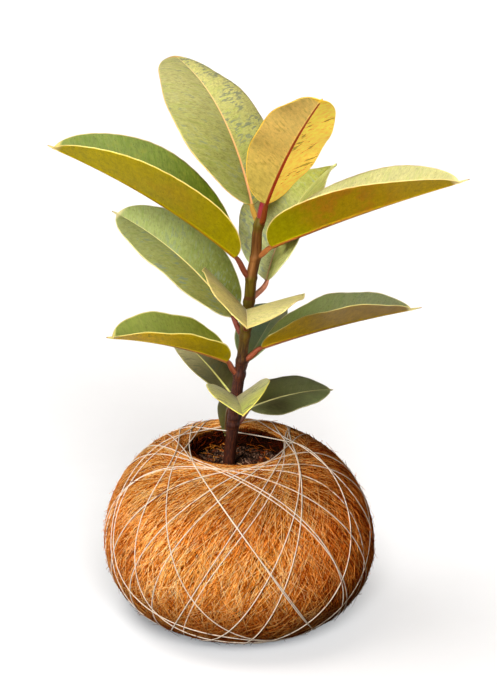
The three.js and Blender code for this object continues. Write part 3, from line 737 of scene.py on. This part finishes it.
def crumbs():
    """Small loose lumps of soil, as rough eight-sided stones."""
    rng = np.random.default_rng(7)
    corners = np.array([(1, 0, 0), (0, 1, 0), (-1, 0, 0), (0, -1, 0), (0, 0, 1), (0, 0, -1)], float)
    sides = np.array([(0, 1, 4), (1, 2, 4), (2, 3, 4), (3, 0, 4),
                      (1, 0, 5), (2, 1, 5), (3, 2, 5), (0, 3, 5)])
    radius = 31 * np.sqrt(rng.random(CRUMB_COUNT))
    turn = rng.uniform(0, 2 * np.pi, CRUMB_COUNT)
    height = soil_surface(radius, turn) + 0.2
    middle = np.stack([radius * np.cos(turn), radius * np.sin(turn), height], -1)
    clear = np.abs(middle[:, 0] + 5.2) + np.abs(middle[:, 1]) > 7
    middle = leaned(middle[clear])
    size = 0.35 + 1.1 * rng.random((len(middle), 1, 1)) ** 3
    size = size * rng.uniform(0.6, 1.3, (len(middle), 1, 3))
    points = middle[:, None] + corners * size * rng.uniform(0.7, 1.3, (len(middle), 6, 1))
    shift = (np.arange(len(middle)) * 6)[:, None, None]
    piece = mesh_object("soil_crumbs", points.reshape(-1, 3), (sides + shift).reshape(-1, 3))
    return finish_piece(piece, soil_material(), "soil")


def opening_wall():
    """The rough fibre wall between the rim and the soil."""
    turn = 2 * np.pi * np.arange(240) / 240
    profile = np.array([(31.9, 113), (31.5, 111), (31.2, 109), (31.2, 107), (31.3, 105),
                        (32.4, 105), (32.5, 107), (32.5, 109), (32.5, 111), (32.4, 113)])
    radius, height = profile[:, :1], profile[:, 1:]
    rings = np.stack([radius * np.cos(turn), radius * np.sin(turn), height + 0 * turn], -1)
    rough = bend_noise(rings, 1.3, 4).reshape(rings.shape[:2]) * (radius < 32)
    rings[..., :2] *= (1 + rough / 60)[..., None]
    wound = np.stack([32 * turn + 0 * height, 2 * height + 0 * turn, 0 * rings[..., 2]], -1)
    layers = {"wind_a": wound, "wind_b": wound, "depth": np.full(rings.shape, 20.0)}
    piece = lofted("opening_wall", leaned(rings), layers, closed=True)
    return finish_piece(piece, coir_ball_material(), "coir_wrap")


def rim_fibres():
    """Fibres that lie round the rim of the opening."""
    rng = np.random.default_rng(31)
    steps = 8
    share = np.linspace(-0.5, 0.5, steps)
    length = rng.uniform(8, 32, (RIM_FIBRES, 1))
    slant = rng.normal(0, 0.22, (RIM_FIBRES, 1))
    first = rng.uniform(32.7, 46, (RIM_FIBRES, 1))
    radius = first + length * np.sin(slant) * share + rng.normal(0, 0.15, (RIM_FIBRES, steps))
    radius = np.maximum(radius, 32.6)
    turn = rng.uniform(0, 2 * np.pi, (RIM_FIBRES, 1)) + length * np.cos(slant) * share / first
    crest = np.concatenate([[(32.4, 117.8), (33.6, 118.8), (35.2, 119.4), (37.2, 119.8)],
                            OUTLINE[:-40:-1]])
    height = np.interp(radius, crest[:, 0], crest[:, 1]) + rng.uniform(0, 0.6, (RIM_FIBRES, 1))
    paths = leaned(np.stack([radius * np.cos(turn), radius * np.sin(turn), height], -1))
    thick = rng.uniform(0.1, 0.22, (RIM_FIBRES, 1)) * (1 - 0.5 * np.abs(2 * share) ** 3)
    outward = unit(paths - np.array([0, 0, BELT_HEIGHT]))
    made, faces = tubes(paths, thick, outward)
    layers = {"fibre": np.stack([
        np.repeat(rng.uniform(0, 0.9, RIM_FIBRES), steps * 3),
        np.repeat(rng.uniform(0, 50, RIM_FIBRES), steps * 3),
        np.repeat(length * (share + 0.5), 3),
    ], -1)}
    piece = mesh_object("rim_fibres", made, faces, layers)
    return finish_piece(piece, fibre_material(), "coir_wrap")


def opening_fibres():
    """Dark fibres round the inside of the opening and orange ones on the soil."""
    rng = np.random.default_rng(21)
    count, steps = 520, 7
    along = np.linspace(-0.5, 0.5, steps)
    turn = rng.uniform(0, 2 * np.pi, count)
    on_soil = rng.random(count) < 0.25
    radius = np.where(on_soil, 30 * np.sqrt(rng.uniform(0.2, 1, count)), rng.uniform(30.4, 32, count))
    height = np.where(on_soil, SOIL_HEIGHT + rng.uniform(0.8, 3, count), rng.uniform(107, 118, count))
    middle = np.stack([radius * np.cos(turn), radius * np.sin(turn), height], -1)
    round_way = np.stack([-np.sin(turn), np.cos(turn), 0 * turn], -1)
    upward = np.array([0.0, 0.0, 1.0])
    inward = np.cross(round_way, upward) * -1
    slant = np.where(on_soil, 0, rng.normal(0, 0.7, count))
    spread = np.where(on_soil, rng.uniform(0, 2 * np.pi, count), rng.normal(0, 0.25, count))
    level = round_way * np.cos(spread)[:, None] + inward * np.sin(spread)[:, None]
    ahead = level * np.cos(slant)[:, None] + upward * np.sin(slant)[:, None]
    length = rng.uniform(3, 12, count)[:, None, None]
    bow = rng.uniform(-0.5, 2.5, (count, 1, 1)) * (1 - 4 * along ** 2)[:, None]
    curl = rng.normal(0, 0.8, (count, 1, 1)) * np.sin(2 * np.pi * along)[:, None]
    paths = middle[:, None] + ahead[:, None] * length * along[:, None] \
        + (upward * 0.7 + inward[:, None] * 0.5) * bow + np.cross(ahead, upward)[:, None] * curl
    paths[..., 2] = np.clip(paths[..., 2], SOIL_HEIGHT - 0.5, 119)
    level_reach = np.maximum(1e-6, np.hypot(paths[..., 0], paths[..., 1]))
    paths[..., :2] *= np.minimum(1, 31.9 / level_reach)[..., None]
    clear = np.hypot(paths[..., 0] + 4.5, paths[..., 1]).min(1) > 5.2
    paths = leaned(paths[clear])
    count = len(paths)
    radii = rng.uniform(0.1, 0.24, (count, 1)) * (1 - 0.5 * np.abs(2 * along) ** 3)
    outward = unit(paths - np.array([0, 0, SOIL_HEIGHT - 20]))
    made, faces = tubes(paths, radii, outward)
    # Painted shade: fibres on the wall of the opening get darker tones than those on the soil, as the wall
    # lies in shade.
    bright = np.where(on_soil[clear], rng.uniform(-0.2, 0.5, count), rng.uniform(-0.7, 0.12, count))
    tone = np.repeat(bright, steps * 3)
    place = np.repeat(rng.uniform(0, 50, count), steps * 3)
    layers = {"fibre": np.stack([tone, place, 0 * tone], -1)}
    piece = mesh_object("opening_fibres", made, faces, layers)
    return finish_piece(piece, fibre_material(), "coir_wrap")


# String

def tight_outline(points):
    """The tight outline round points in a plane, counter-clockwise."""
    order = points[np.lexsort((points[:, 1], points[:, 0]))]
    sides = []
    for run in (order, order[::-1]):
        kept = []
        for point in run:
            while len(kept) > 1 and np.cross(kept[-1] - kept[-2], point - kept[-1]) <= 0:
                kept.pop()
            kept.append(point)
        sides += kept[:-1]
    return np.array(sides)


def evenly(points, step):
    """Points along a closed line, step apart."""
    closed = np.concatenate([points, points[:1]])
    place = np.concatenate([[0], np.cumsum(np.linalg.norm(np.diff(closed, axis=0), axis=1))])
    count = int(place[-1] / step) // 4 * 4
    at = np.linspace(0, place[-1], count, endpoint=False)
    return np.stack([np.interp(at, place, closed[:, k]) for k in range(points.shape[1])], -1)


def string_loop(heading, tilt, offset, *sways):
    """A loop's points and the direction square to its plane."""
    a, b = math.radians(heading), math.radians(tilt)
    square = np.array([math.cos(b) * math.cos(a), math.cos(b) * math.sin(a), math.sin(b)])
    first = np.array([-math.sin(a), math.cos(a), 0])
    second = np.cross(square, first)
    turn = np.linspace(0, 2 * np.pi, 720, endpoint=False)
    aside = (offset + side_sway(turn, sways))[:, None] * square
    out = first * np.cos(turn)[:, None] + second * np.sin(turn)[:, None]
    distance = distance_to_ball(aside, out, sways[-1])
    flat = np.stack([distance * np.cos(turn), distance * np.sin(turn)], -1)
    taut = evenly(tight_outline(flat), STRING_STEP)
    at = np.arctan2(taut[:, 1], taut[:, 0])
    points = taut[:, :1] * first + taut[:, 1:] * second
    points += (offset + side_sway(at, sways))[:, None] * square
    points[:, 2] += BELT_HEIGHT
    return leaned(points), square


def side_sway(turn, sways):
    return sways[0] * np.cos(2 * turn) + sways[1] * np.sin(2 * turn) \
        + sways[2] * np.cos(3 * turn) + sways[3] * np.sin(3 * turn)


def distance_to_ball(start, out, lift):
    """How far along each direction a point comes out of the ball, by halving."""
    low, high = np.zeros(len(out)), np.full(len(out), 130.0)
    for _ in range(24):
        middle = (low + high) / 2
        points = start + out * middle[:, None]
        far = np.linalg.norm(points, axis=1)
        inside = far < reach(np.arcsin(points[:, 2] / np.maximum(far, 1e-9))) + lift
        low = np.where(inside, middle, low)
        high = np.where(inside, high, middle)
    return low


def string_net():
    points, faces, layers = [], [], []
    start = 0
    for k, loop in enumerate(LOOPS):
        path, square = string_loop(*loop)
        path[:, 2] = np.maximum(path[:, 2], STRING_RADIUS + 0.15)
        count = len(path)
        ahead = unit(np.roll(path, -1, 0) - np.roll(path, 1, 0))
        out = unit(np.cross(ahead, square))
        side = np.cross(out, ahead)
        turn = (np.pi / 4 * np.arange(count))[:, None] + np.pi / 2 * np.arange(4)
        around = out[:, None] * np.cos(turn)[..., None] + side[:, None] * np.sin(turn)[..., None]
        ring = path[:, None] + STRING_RADIUS * around
        grid = facing_out(ring.reshape(-1, 3), ring_faces(count, 4, True))
        points.append(ring.reshape(-1, 3))
        faces.append(grid + start)
        along = np.repeat(np.arange(count) * STRING_STEP, 4)
        layers.append(np.stack([along, turn.ravel(), 0 * along + k], -1))
        start += count * 4
    piece = mesh_object("string_net", np.concatenate(points), np.concatenate(faces),
                        {"twine": np.concatenate(layers)})
    return finish_piece(piece, string_material(), "string", "string")


def string_material():
    g = Graph("string", 0.85, Specular_IOR_Level=0.2, Sheen_Weight=0.2)
    along, turn, loop = g.layer("twine")
    fuzz = g.noise(g.vector(g.times(along, 1.4), turn, loop), 1.0, 2.0)
    g.colour(g.ramp(fuzz, [(0.3, (206, 176, 144)), (0.5, (240, 222, 200)), (0.7, (255, 246, 232))]))
    g.bump(fuzz, 0.1)
    return g.material


# Stem

def along_line(table, height):
    heights, values = zip(*table)
    return np.interp(height, heights, values)


def stem_point(height):
    height = np.asarray(height, float)
    return np.stack([along_line(STEM_LINE, height), 0 * height, height], -1)


def stem_body():
    heights = np.linspace(STEM_FOOT_HEIGHT, STEM_TOP_HEIGHT, 260)
    turn = 2 * np.pi * np.arange(28) / 28
    radius = along_line(STEM_GIRTH, heights) + along_line(STEM_BARK, heights)
    scars = 0 * heights
    for leaf in LEAVES.values():
        radius = radius + NODE_SWELL * np.exp(-((heights - leaf["node"] + 1.5) / 1.8) ** 2)
        scars = scars + 0.6 * np.exp(-((heights - leaf["node"] + 3.5) / 0.7) ** 2)
    scars = scars + 1.5 * np.exp(-((heights - 223.5) / 1.3) ** 2)
    radius[heights < 125] = along_line(STEM_GIRTH, heights[heights < 125])
    middle = stem_point(heights)
    middle[:, 0] += along_line(STEM_KINKS, heights)
    rings = middle[:, None] + radius[:, None, None] * np.stack(
        [np.cos(turn), np.sin(turn), 0 * turn], -1)
    around = np.stack([8 * np.cos(turn) + 0 * heights[:, None], 8 * np.sin(turn)
                       + 0 * heights[:, None], 0.25 * heights[:, None] + 0 * turn], -1)
    fissures = bend_noise(around, 1.4, 3).reshape(len(heights), -1)
    rough = smooth(heights, 215, 150)[:, None]
    push = 0.28 * fissures * (0.1 + 0.9 * rough)
    outward = unit(rings - middle[:, None])
    ringed = np.repeat(scars[:, None], len(turn), 1)
    layers = {"bark": around, "ringed": np.stack([ringed, ringed, ringed], -1)}
    piece = lofted("stem_body", rings + push[..., None] * outward, layers)
    return finish_piece(piece, stem_material(), "stem", "stem")


def stem_material():
    g = Graph("stem", 0.55, Specular_IOR_Level=0.25)
    x, y, z = g.layer("bark")
    height = g.times(z, 4.0)
    streaks = g.noise(g.vector(x, y, z), 0.8, 4.0, 0.65)
    wood = g.ramp(streaks, [(0.3, (20, 6, 2)), (0.5, (54, 20, 8)), (0.7, (98, 48, 22))])
    soft = g.noise(g.vector(x, y, z), 0.25, 3.0)
    green = g.ramp(soft, [(0.3, (74, 56, 4)), (0.5, (100, 82, 12)), (0.7, (122, 104, 26))])
    brown = g.ramp(soft, [(0.3, (90, 50, 15)), (0.5, (122, 76, 30)), (0.7, (150, 100, 50))])
    browned = g.times(g.step(height, 236.0, 240.0), g.step(height, 272.0, 266.0))
    shaded = g.times(g.step(x, 0.0, 7.0), 0.5)
    green = g.mix(g.math("MAXIMUM", browned, shaded), green, brown)
    wander = g.times(g.add(streaks, -0.5), 60.0)
    young = g.step(g.add(height, wander), 175.0, 210.0)
    colour = g.mix(young, wood, green)
    scar, _, _ = g.layer("ringed")
    g.colour(g.mix(g.times(g.step(scar, 0.2, 1.0), 0.75), colour, paint((104, 56, 26))))
    g.bump(g.times(streaks, g.mix_value(young, 1.0, 0.15)), 0.5)
    return g.material


def tip_sheath():
    """The rolled crimson sheath at the tip of the stem."""
    course = np.array([(0.3, 2.3), (2, 2.6), (4, 2.6), (9, 2.1), (14, 1.4), (17, 0.8), (18.2, 0.3)])
    rise = np.linspace(0.3, 18.2, 40)
    radius = np.interp(rise, course[:, 0], course[:, 1])
    turn = 2 * np.pi * np.arange(20) / 20
    foot = stem_point(STEM_TOP_HEIGHT)
    x = foot[0] + 0.16 * rise[:, None] + radius[:, None] * np.cos(turn)
    y = foot[1] + radius[:, None] * np.sin(turn)
    z = foot[2] + rise[:, None] + 0 * turn
    layer = np.stack([rise[:, None] / 18 + 0 * turn, turn + 0 * rise[:, None], 0 * z], -1)
    piece = lofted("tip_sheath_skin", np.stack([x, y, z], -1), {"sheath": layer})
    g = Graph("tip_sheath", 0.4)
    rise_share, around, _ = g.layer("sheath")
    lines = g.noise(g.vector(g.times(rise_share, 2.0), g.times(around, 3.0), 0.0), 2.0, 2.0)
    tone = g.add(g.times(rise_share, 0.6), g.times(lines, 0.4))
    g.colour(g.ramp(tone, [(0.2, (150, 52, 46)), (0.5, (150, 18, 42)), (0.9, (170, 66, 72))]))
    g.bump(lines, 0.3)
    return finish_piece(piece, g.material, "tip_sheath", "tip_sheath")


# Leaves

def blade_frame(leaf, u):
    """Direction ahead, right hand side and upper face of a blade at u."""
    heading = np.radians(leaf["facing"] + leaf["sweep"] * u)
    rise = np.radians(leaf["rise"][0] + (leaf["rise"][1] - leaf["rise"][0]) * u)
    ahead = np.stack([np.cos(rise) * np.cos(heading), np.cos(rise) * np.sin(heading),
                      np.sin(rise)], -1)
    level = np.stack([np.sin(heading), -np.cos(heading), 0 * heading], -1)
    above = np.cross(level, ahead)
    tilt = np.radians(leaf["tilt"] + leaf["twist"] * u)[..., None]
    side = level * np.cos(tilt) + above * np.sin(tilt)
    up = above * np.cos(tilt) - level * np.sin(tilt)
    return ahead, side, up


def stalk_direction(leaf):
    heading, rise = math.radians(leaf["facing"]), math.radians(leaf["stalk_rise"])
    return np.array([math.cos(rise) * math.cos(heading), math.cos(rise) * math.sin(heading),
                     math.sin(rise)])


def stalk_foot(leaf):
    clear = STALK_FOOT_RADIUS * math.sin(math.radians(leaf["stalk_rise"])) + SEAT_GAP
    out = along_line(STEM_GIRTH, leaf["node"]) + clear
    heading = math.radians(leaf["facing"])
    return stem_point(leaf["node"]) + out * np.array([math.cos(heading), math.sin(heading), 0])


def midrib_line(leaf, u):
    ahead, _, _ = blade_frame(leaf, u)
    moves = (ahead[1:] + ahead[:-1]) / 2 * (np.diff(u) * leaf["length"])[:, None]
    start = stalk_foot(leaf) + stalk_direction(leaf) * leaf["stalk"]
    return start + np.concatenate([np.zeros((1, 3)), np.cumsum(moves, 0)])


def half_width(leaf, u):
    power, root, skew = leaf["shape"]
    root = root - leaf.get("blunt", 0) * smooth(u, 0.55, 1)
    moved = u + skew * u * (1 - u)
    full = np.maximum(0, 1 - np.abs(2 * moved - 1) ** power) ** root
    return np.maximum(1, leaf["half"] * full)


# Places across a blade, from the midrib at 0 to the margin at 1
SHARES = [0, 0.012, 0.025, 0.045, 0.07, 0.12, 0.2, 0.3, 0.4, 0.5, 0.6, 0.7, 0.8, 0.88, 0.95, 1]
COLUMNS = np.array([-s for s in SHARES[:0:-1]] + SHARES)


def blade_rings(leaf, u):
    """Rings of points round a blade, with the layers that its material reads."""
    line = midrib_line(leaf, u)
    ahead, side, up = blade_frame(leaf, u)
    width = half_width(leaf, u)[:, None]
    v = COLUMNS[None, :]
    sign = np.where(v > 0, 1.0, -1.0)
    fold = np.radians(np.where(v > 0, leaf["fold"][0], leaf["fold"][1]))
    bend = math.radians(leaf["curl"]) or 1e-6
    slope = fold + bend * np.abs(v)
    out = (np.sin(slope) - np.sin(fold)) / bend
    lift = (np.cos(fold) - np.cos(slope)) / bend
    height, count = leaf["wave"]
    fade = np.clip(8 * np.minimum(u, 1 - u), 0, 1)[:, None]
    phase = np.where(v == 0, 1.0, sign)
    wave = height * fade * v * v * np.sin(2 * np.pi * count * u[:, None] + phase)
    ripple = 0.12 * fade * np.sin(2 * np.pi * (leaf["length"] / 9 * u[:, None] - np.abs(v))) * \
        np.abs(v) * (1 - 0.4 * np.abs(v))
    up_by = lift * width + wave + ripple
    points = line[:, None] + side[:, None] * (sign * out * width)[..., None] + \
        up[:, None] * up_by[..., None]
    lean = slope * (v != 0)
    face = up[:, None] * np.cos(lean)[..., None] - side[:, None] * (sign * np.sin(lean))[..., None]
    across = np.abs(v) * width
    rib_half = 1.5 * (1 - 0.6 * u[:, None])
    rib = np.clip(1 - across / rib_half, 0, 1)
    keel = RIB_DEPTH * (1 - 0.7 * u[:, None]) * rib * rib * (3 - 2 * rib)
    groove = 0.3 * np.clip(1 - across / 1.2, 0, 1) ** 2
    thin = BLADE_THICKNESS / 2 * (1 - 0.35 * np.abs(v) ** 6)
    upper = points + face * (thin - groove * (1 - u[:, None]))[..., None]
    lower = points - face * (thin + keel)[..., None]
    rings = np.concatenate([upper, lower[:, ::-1]], 1)
    along = u[:, None] * leaf["length"] + 0 * v
    signed = v * width
    edge = (1 - np.abs(v)) * width
    flat = u[:, None] + 0 * v
    layers = []
    for side_of in (1.0, 0.0):
        layers.append((np.stack([along, signed, side_of + 0 * along], -1),
                       np.stack([flat, v + 0 * flat, edge], -1)))
    blade = np.concatenate([layers[0][0], layers[1][0][:, ::-1]], 1)
    part = np.concatenate([layers[0][1], layers[1][1][:, ::-1]], 1)
    return rings, blade, part


def stalk_rings(leaf, count):
    """Round rings along the stalk, in the order of a blade's rings."""
    heading = math.radians(leaf["facing"])
    base = stalk_foot(leaf)
    foot = base - STALK_HEEL * np.array([math.cos(heading), math.sin(heading), 0.3])
    start = stalk_direction(leaf) * leaf["stalk"]
    ahead, side, _ = (values[0] for values in blade_frame(leaf, np.array([0.0])))
    top = base + start
    pull = top - ahead * leaf["stalk"] / 3
    t = np.linspace(0, 1, 12)[:, None]
    push = base + start / 3
    path = (1 - t) ** 3 * foot + 3 * t * (1 - t) ** 2 * push + 3 * t * t * (1 - t) * pull \
        + t ** 3 * top
    tangent = unit(3 * (1 - t) ** 2 * (push - foot) + 6 * t * (1 - t) * (pull - push)
                   + 3 * t * t * (top - pull))
    level = unit(side - tangent * (tangent @ side)[:, None])
    above = np.cross(level, tangent)
    turn = np.pi - (np.arange(count) + 0.5) * 2 * np.pi / count
    radius = STALK_FOOT_RADIUS + (STALK_RADIUS - STALK_FOOT_RADIUS) * t
    radius = radius + STALK_BARK * (1 - t ** 6)
    round_part = level[:, None] * np.cos(turn)[:, None] + above[:, None] * np.sin(turn)[:, None]
    rings = path[:, None] + round_part * radius[..., None]
    flat = np.zeros((len(t), count))
    blade = np.stack([(t - 1) * leaf["stalk"] + flat, flat, flat + 0.5], -1)
    part = np.stack([t - 1.02 + flat, flat, flat + 9], -1)
    return rings, blade, part


def leaf_piece(name):
    leaf = LEAVES[name]
    u = np.concatenate([[0, 0.008, 0.016, 0.028], np.linspace(0.045, 0.95, 62),
                        [0.962, 0.972, 0.981, 0.988, 0.994, 0.998, 1]])
    rings, blade, part = blade_rings(leaf, u)
    stalk = stalk_rings(leaf, rings.shape[1])
    tip_ahead = blade_frame(leaf, np.array([1.0]))[0][0]
    tip = rings[-1:]
    middle = tip.mean(1, keepdims=True)
    drips = [middle + (tip - middle) * s + tip_ahead * leaf["drip"] * d
             for d, s in ((0.35, 0.8), (0.7, 0.55), (1, 0.3))]
    parts = [stalk[0], rings[1:], *drips]
    blades = [stalk[1], blade[1:], *[blade[-1:]] * 3]
    shares = [stalk[2], part[1:], *[part[-1:] + np.array([d, 0, 0]) for d in (0.1, 0.2, 0.3)]]
    layers = {"blade": np.concatenate(blades), "part": np.concatenate(shares)}
    piece = lofted(name + "_skin", np.concatenate(parts), layers)
    return finish_piece(piece, leaf_material(name), name, name)


def leaf_material(name):
    look = LOOKS[name]
    seed = float(sorted(LOOKS).index(name)) * 3.7
    g = Graph(name, 0.45, Specular_IOR_Level=look.get("gloss", 0.08))
    along, across, face = g.layer("blade")
    u, v, edge = g.layer("part")
    out = g.size(across)
    half = g.step(v, -0.01, 0.01)
    hand = g.add(g.times(half, 7.0), seed)
    tip = g.step(u, 0.15, 0.85)
    above = g.step(face, 0.4, 0.6)

    def veined(fine, long, shift, detail=3.0):
        vein = g.add(along, g.times(out, -0.5))
        place = g.vector(g.times(vein, fine), g.times(out, long), g.add(hand, shift))
        return g.noise(place, 1.0, detail, 0.6)

    def shade(colours):
        low = g.mix(half, paint(colours[0]), paint(colours[1]))
        high = g.mix(half, paint(colours[2]), paint(colours[3]))
        return g.mix(tip, low, high)

    streaks = veined(0.55, 0.06, 0.0)
    grain = veined(1.2, 0.4, 20.0)
    patches = veined(0.06, 0.06, 40.0, 2.0)
    colour = g.mix(above, shade(look["under"]), shade(look["top"]))
    mottle = veined(0.3, 0.3, 100.0)
    if "blush" in look:
        middle = g.times(g.step(u, 0.15, 0.4), g.step(u, 0.85, 0.5))
        uneven = g.add(g.times(g.step(g.add(patches, g.times(mottle, 0.4)), 0.6, 0.8), 0.7), 0.3)
        reddened = g.times(g.times(middle, uneven), g.step(face, 0.6, 0.4))
        colour = g.mix(g.times(reddened, look["blush"][3]), colour, paint(look["blush"]))
    fine = g.add(g.times(g.add(streaks, -0.5), 0.6), g.times(g.add(grain, -0.5), 1.3))
    rough = look.get("grain", 0.65)
    fine = g.times(fine, g.mix_value(above, 0.35, rough))
    tone = g.add(fine, g.times(g.add(mottle, -0.5), 0.8))
    tone = g.add(g.add(tone, g.times(g.add(patches, -0.5), 0.4)), 1.0)
    colour = g.scaled(colour, tone)
    greener = g.times(g.step(g.add(streaks, g.times(grain, 0.4)), 0.68, 0.88), above)
    colour = g.mix(g.times(greener, 0.6), colour, paint((206, 222, 180)), "MULTIPLY")
    amount = g.mix_value(half, look["flecks"][0], look["flecks"][1])
    blocks = veined(0.45, 0.15, 60.0, 4.0)
    clusters = g.step(g.add(patches, g.times(amount, 0.12)), 0.52, 0.62)
    flecked = g.times(g.times(g.step(blocks, 0.51, 0.57), clusters), g.step(amount, 0.0, 0.3))
    colour = g.mix(g.times(flecked, 0.7), colour, paint(look["fleck"]))
    faint = g.times(g.step(mottle, 0.52, 0.7), g.mix_value(above, 0.05, 0.3))
    colour = g.mix(faint, colour, paint(look["fleck"]))
    dots = g.step(veined(1.1, 1.1, 80.0, 1.0), 0.67, 0.74)
    colour = g.scaled(colour, g.add(g.times(dots, -0.5), 1.0))
    rib_reach = g.add(g.times(u, -0.8), 1.05)
    on_rib = g.step(g.math("DIVIDE", out, rib_reach), 1.15, 0.75)
    rib = g.mix(above, g.mix(tip, paint(look["rib"][2]), paint(look["rib"][3])),
                g.mix(tip, paint(look["rib"][0]), paint(look["rib"][1])))
    colour = g.mix(on_rib, colour, rib)
    colour = g.mix(g.times(g.step(edge, 0.8, 0.3), 0.85), colour, paint(look["margin"]))
    colour = g.mix(g.step(u, 0.965, 0.99), colour, paint(look["margin"]))
    colour = g.mix(g.step(u, 1.2, 1.3), colour, paint((170, 120, 70)))
    colour = g.mix(g.step(u, 0.012, -0.01), colour, paint(look["stalk"]))
    g.colour(colour)
    # Painted light: this glow on one half of the blade stands in for light shining through the leaf.
    if "glow" in look:
        g.put(g.shader.inputs["Emission Color"], colour)
        g.put(g.shader.inputs["Emission Strength"], g.mix_value(half, look["glow"], 0.0))
    g.bump(g.add(g.times(streaks, 0.6), g.times(grain, 0.4)), 0.1)
    return g.material


# Floor, light and camera

def floor():
    mesh = bpy.data.meshes.new("floor")
    corners = [(-9, -9, -0.0002), (9, -9, -0.0002), (9, 9, -0.0002), (-9, 9, -0.0002)]
    mesh.from_pydata(corners, [], [(0, 1, 2, 3)])
    made = bpy.data.objects.new("floor", mesh)
    bpy.context.scene.collection.objects.link(made)
    g = Graph("floor", 0.9, Specular_IOR_Level=0.0, Emission_Color=(0.72, 0.84, 0.96, 1),
              Emission_Strength=FLOOR_GLOW)
    spot = g.node("TexCoord", {}, output="Object")
    grain = g.noise(spot, 30.0, 2.0)
    g.colour(g.mix(grain, (0.8, 0.8, 0.8, 1), (0.82, 0.82, 0.82, 1)))
    made.data.materials.append(g.material)
    made.visible_diffuse = False
    return made


def sun_light(name, place, softness, strength):
    light = bpy.data.lights.new(name, "SUN")
    light.angle = math.radians(softness)
    light.energy = strength
    made = bpy.data.objects.new(name, light)
    made.location = place
    made.rotation_euler = (-Vector(place)).to_track_quat("-Z", "Y").to_euler()
    bpy.context.scene.collection.objects.link(made)
    return made


def lights_only(light, pieces, included):
    """Lets a light reach only these pieces, or everything but these."""
    group = bpy.data.collections.new(light.name + "_group")
    for piece in pieces:
        group.objects.link(piece)
    for item in group.collection_objects:
        item.light_linking.link_state = "INCLUDE" if included else "EXCLUDE"
    light.light_linking.receiver_collection = group


def studio(ground):
    """Even light, a soft key for the plant and a steeper light for the floor."""
    world = bpy.data.worlds.new("studio")
    bpy.context.scene.world = world
    world.use_nodes = True
    nodes, links = world.node_tree.nodes, world.node_tree.links
    sky = nodes["Background"]
    sky.inputs[0].default_value = SKY_COLOUR
    way = nodes.new("ShaderNodeSeparateXYZ")
    links.new(nodes.new("ShaderNodeTexCoord").outputs["Generated"], way.inputs[0])
    rise = nodes.new("ShaderNodeMapRange")
    links.new(way.outputs[2], rise.inputs["Value"])
    for name, value in (("From Min", -0.4), ("From Max", 0.2), ("To Min", SKY_BELOW),
                        ("To Max", SKY_ABOVE)):
        rise.inputs[name].default_value = value
    links.new(rise.outputs[0], sky.inputs[1])
    key = sun_light("key", KEY_PLACE, KEY_SOFTNESS, KEY_STRENGTH)
    lights_only(key, [ground], False)
    low = sun_light("floor_light", FLOOR_LIGHT_PLACE, FLOOR_LIGHT_SOFTNESS, FLOOR_LIGHT_STRENGTH)
    lights_only(low, [ground], True)
    front = sun_light("floor_front", FRONT_LIGHT_PLACE, FRONT_LIGHT_SOFTNESS,
                      FRONT_LIGHT_STRENGTH)
    lights_only(front, [ground], True)
    bpy.context.scene.view_settings.view_transform = "Standard"


def camera():
    made = bpy.data.cameras.new("camera")
    made.sensor_fit = "VERTICAL"
    made.sensor_height = 36
    made.lens = FOCAL_LENGTH
    made.clip_end = 30
    pitch = math.radians(CAMERA_PITCH)
    forward = np.array([0, math.cos(pitch), -math.sin(pitch)])
    place = (np.array(LOOK_AT) - CAMERA_DISTANCE * forward) * MM
    view = bpy.data.objects.new("camera", made)
    view.location = place
    view.rotation_euler = (math.pi / 2 - pitch, 0, 0)
    bpy.context.scene.collection.objects.link(view)
    bpy.context.scene.camera = view


def corners(bounds):
    return [[float(v) for v in corner] for corner in bounds]


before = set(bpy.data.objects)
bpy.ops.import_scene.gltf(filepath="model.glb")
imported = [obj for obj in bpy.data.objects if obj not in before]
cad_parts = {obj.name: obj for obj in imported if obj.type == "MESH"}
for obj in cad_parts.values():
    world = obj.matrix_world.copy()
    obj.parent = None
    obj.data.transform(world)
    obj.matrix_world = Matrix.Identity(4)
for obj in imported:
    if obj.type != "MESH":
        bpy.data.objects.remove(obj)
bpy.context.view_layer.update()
camera()
studio(floor())
coir_ball()
for number in range(FIBRE_BATCHES):
    coir_fibres(number + 1)
soil_body()
crumbs()
opening_wall()
rim_fibres()
opening_fibres()
string_net()
stem_body()
tip_sheath()
leaves = [leaf_piece(leaf_name) for leaf_name in LEAVES]
lights_only(sun_light("leaf_light", LEAF_LIGHT_PLACE, LEAF_LIGHT_SOFTNESS, LEAF_LIGHT_STRENGTH),
            leaves, True)
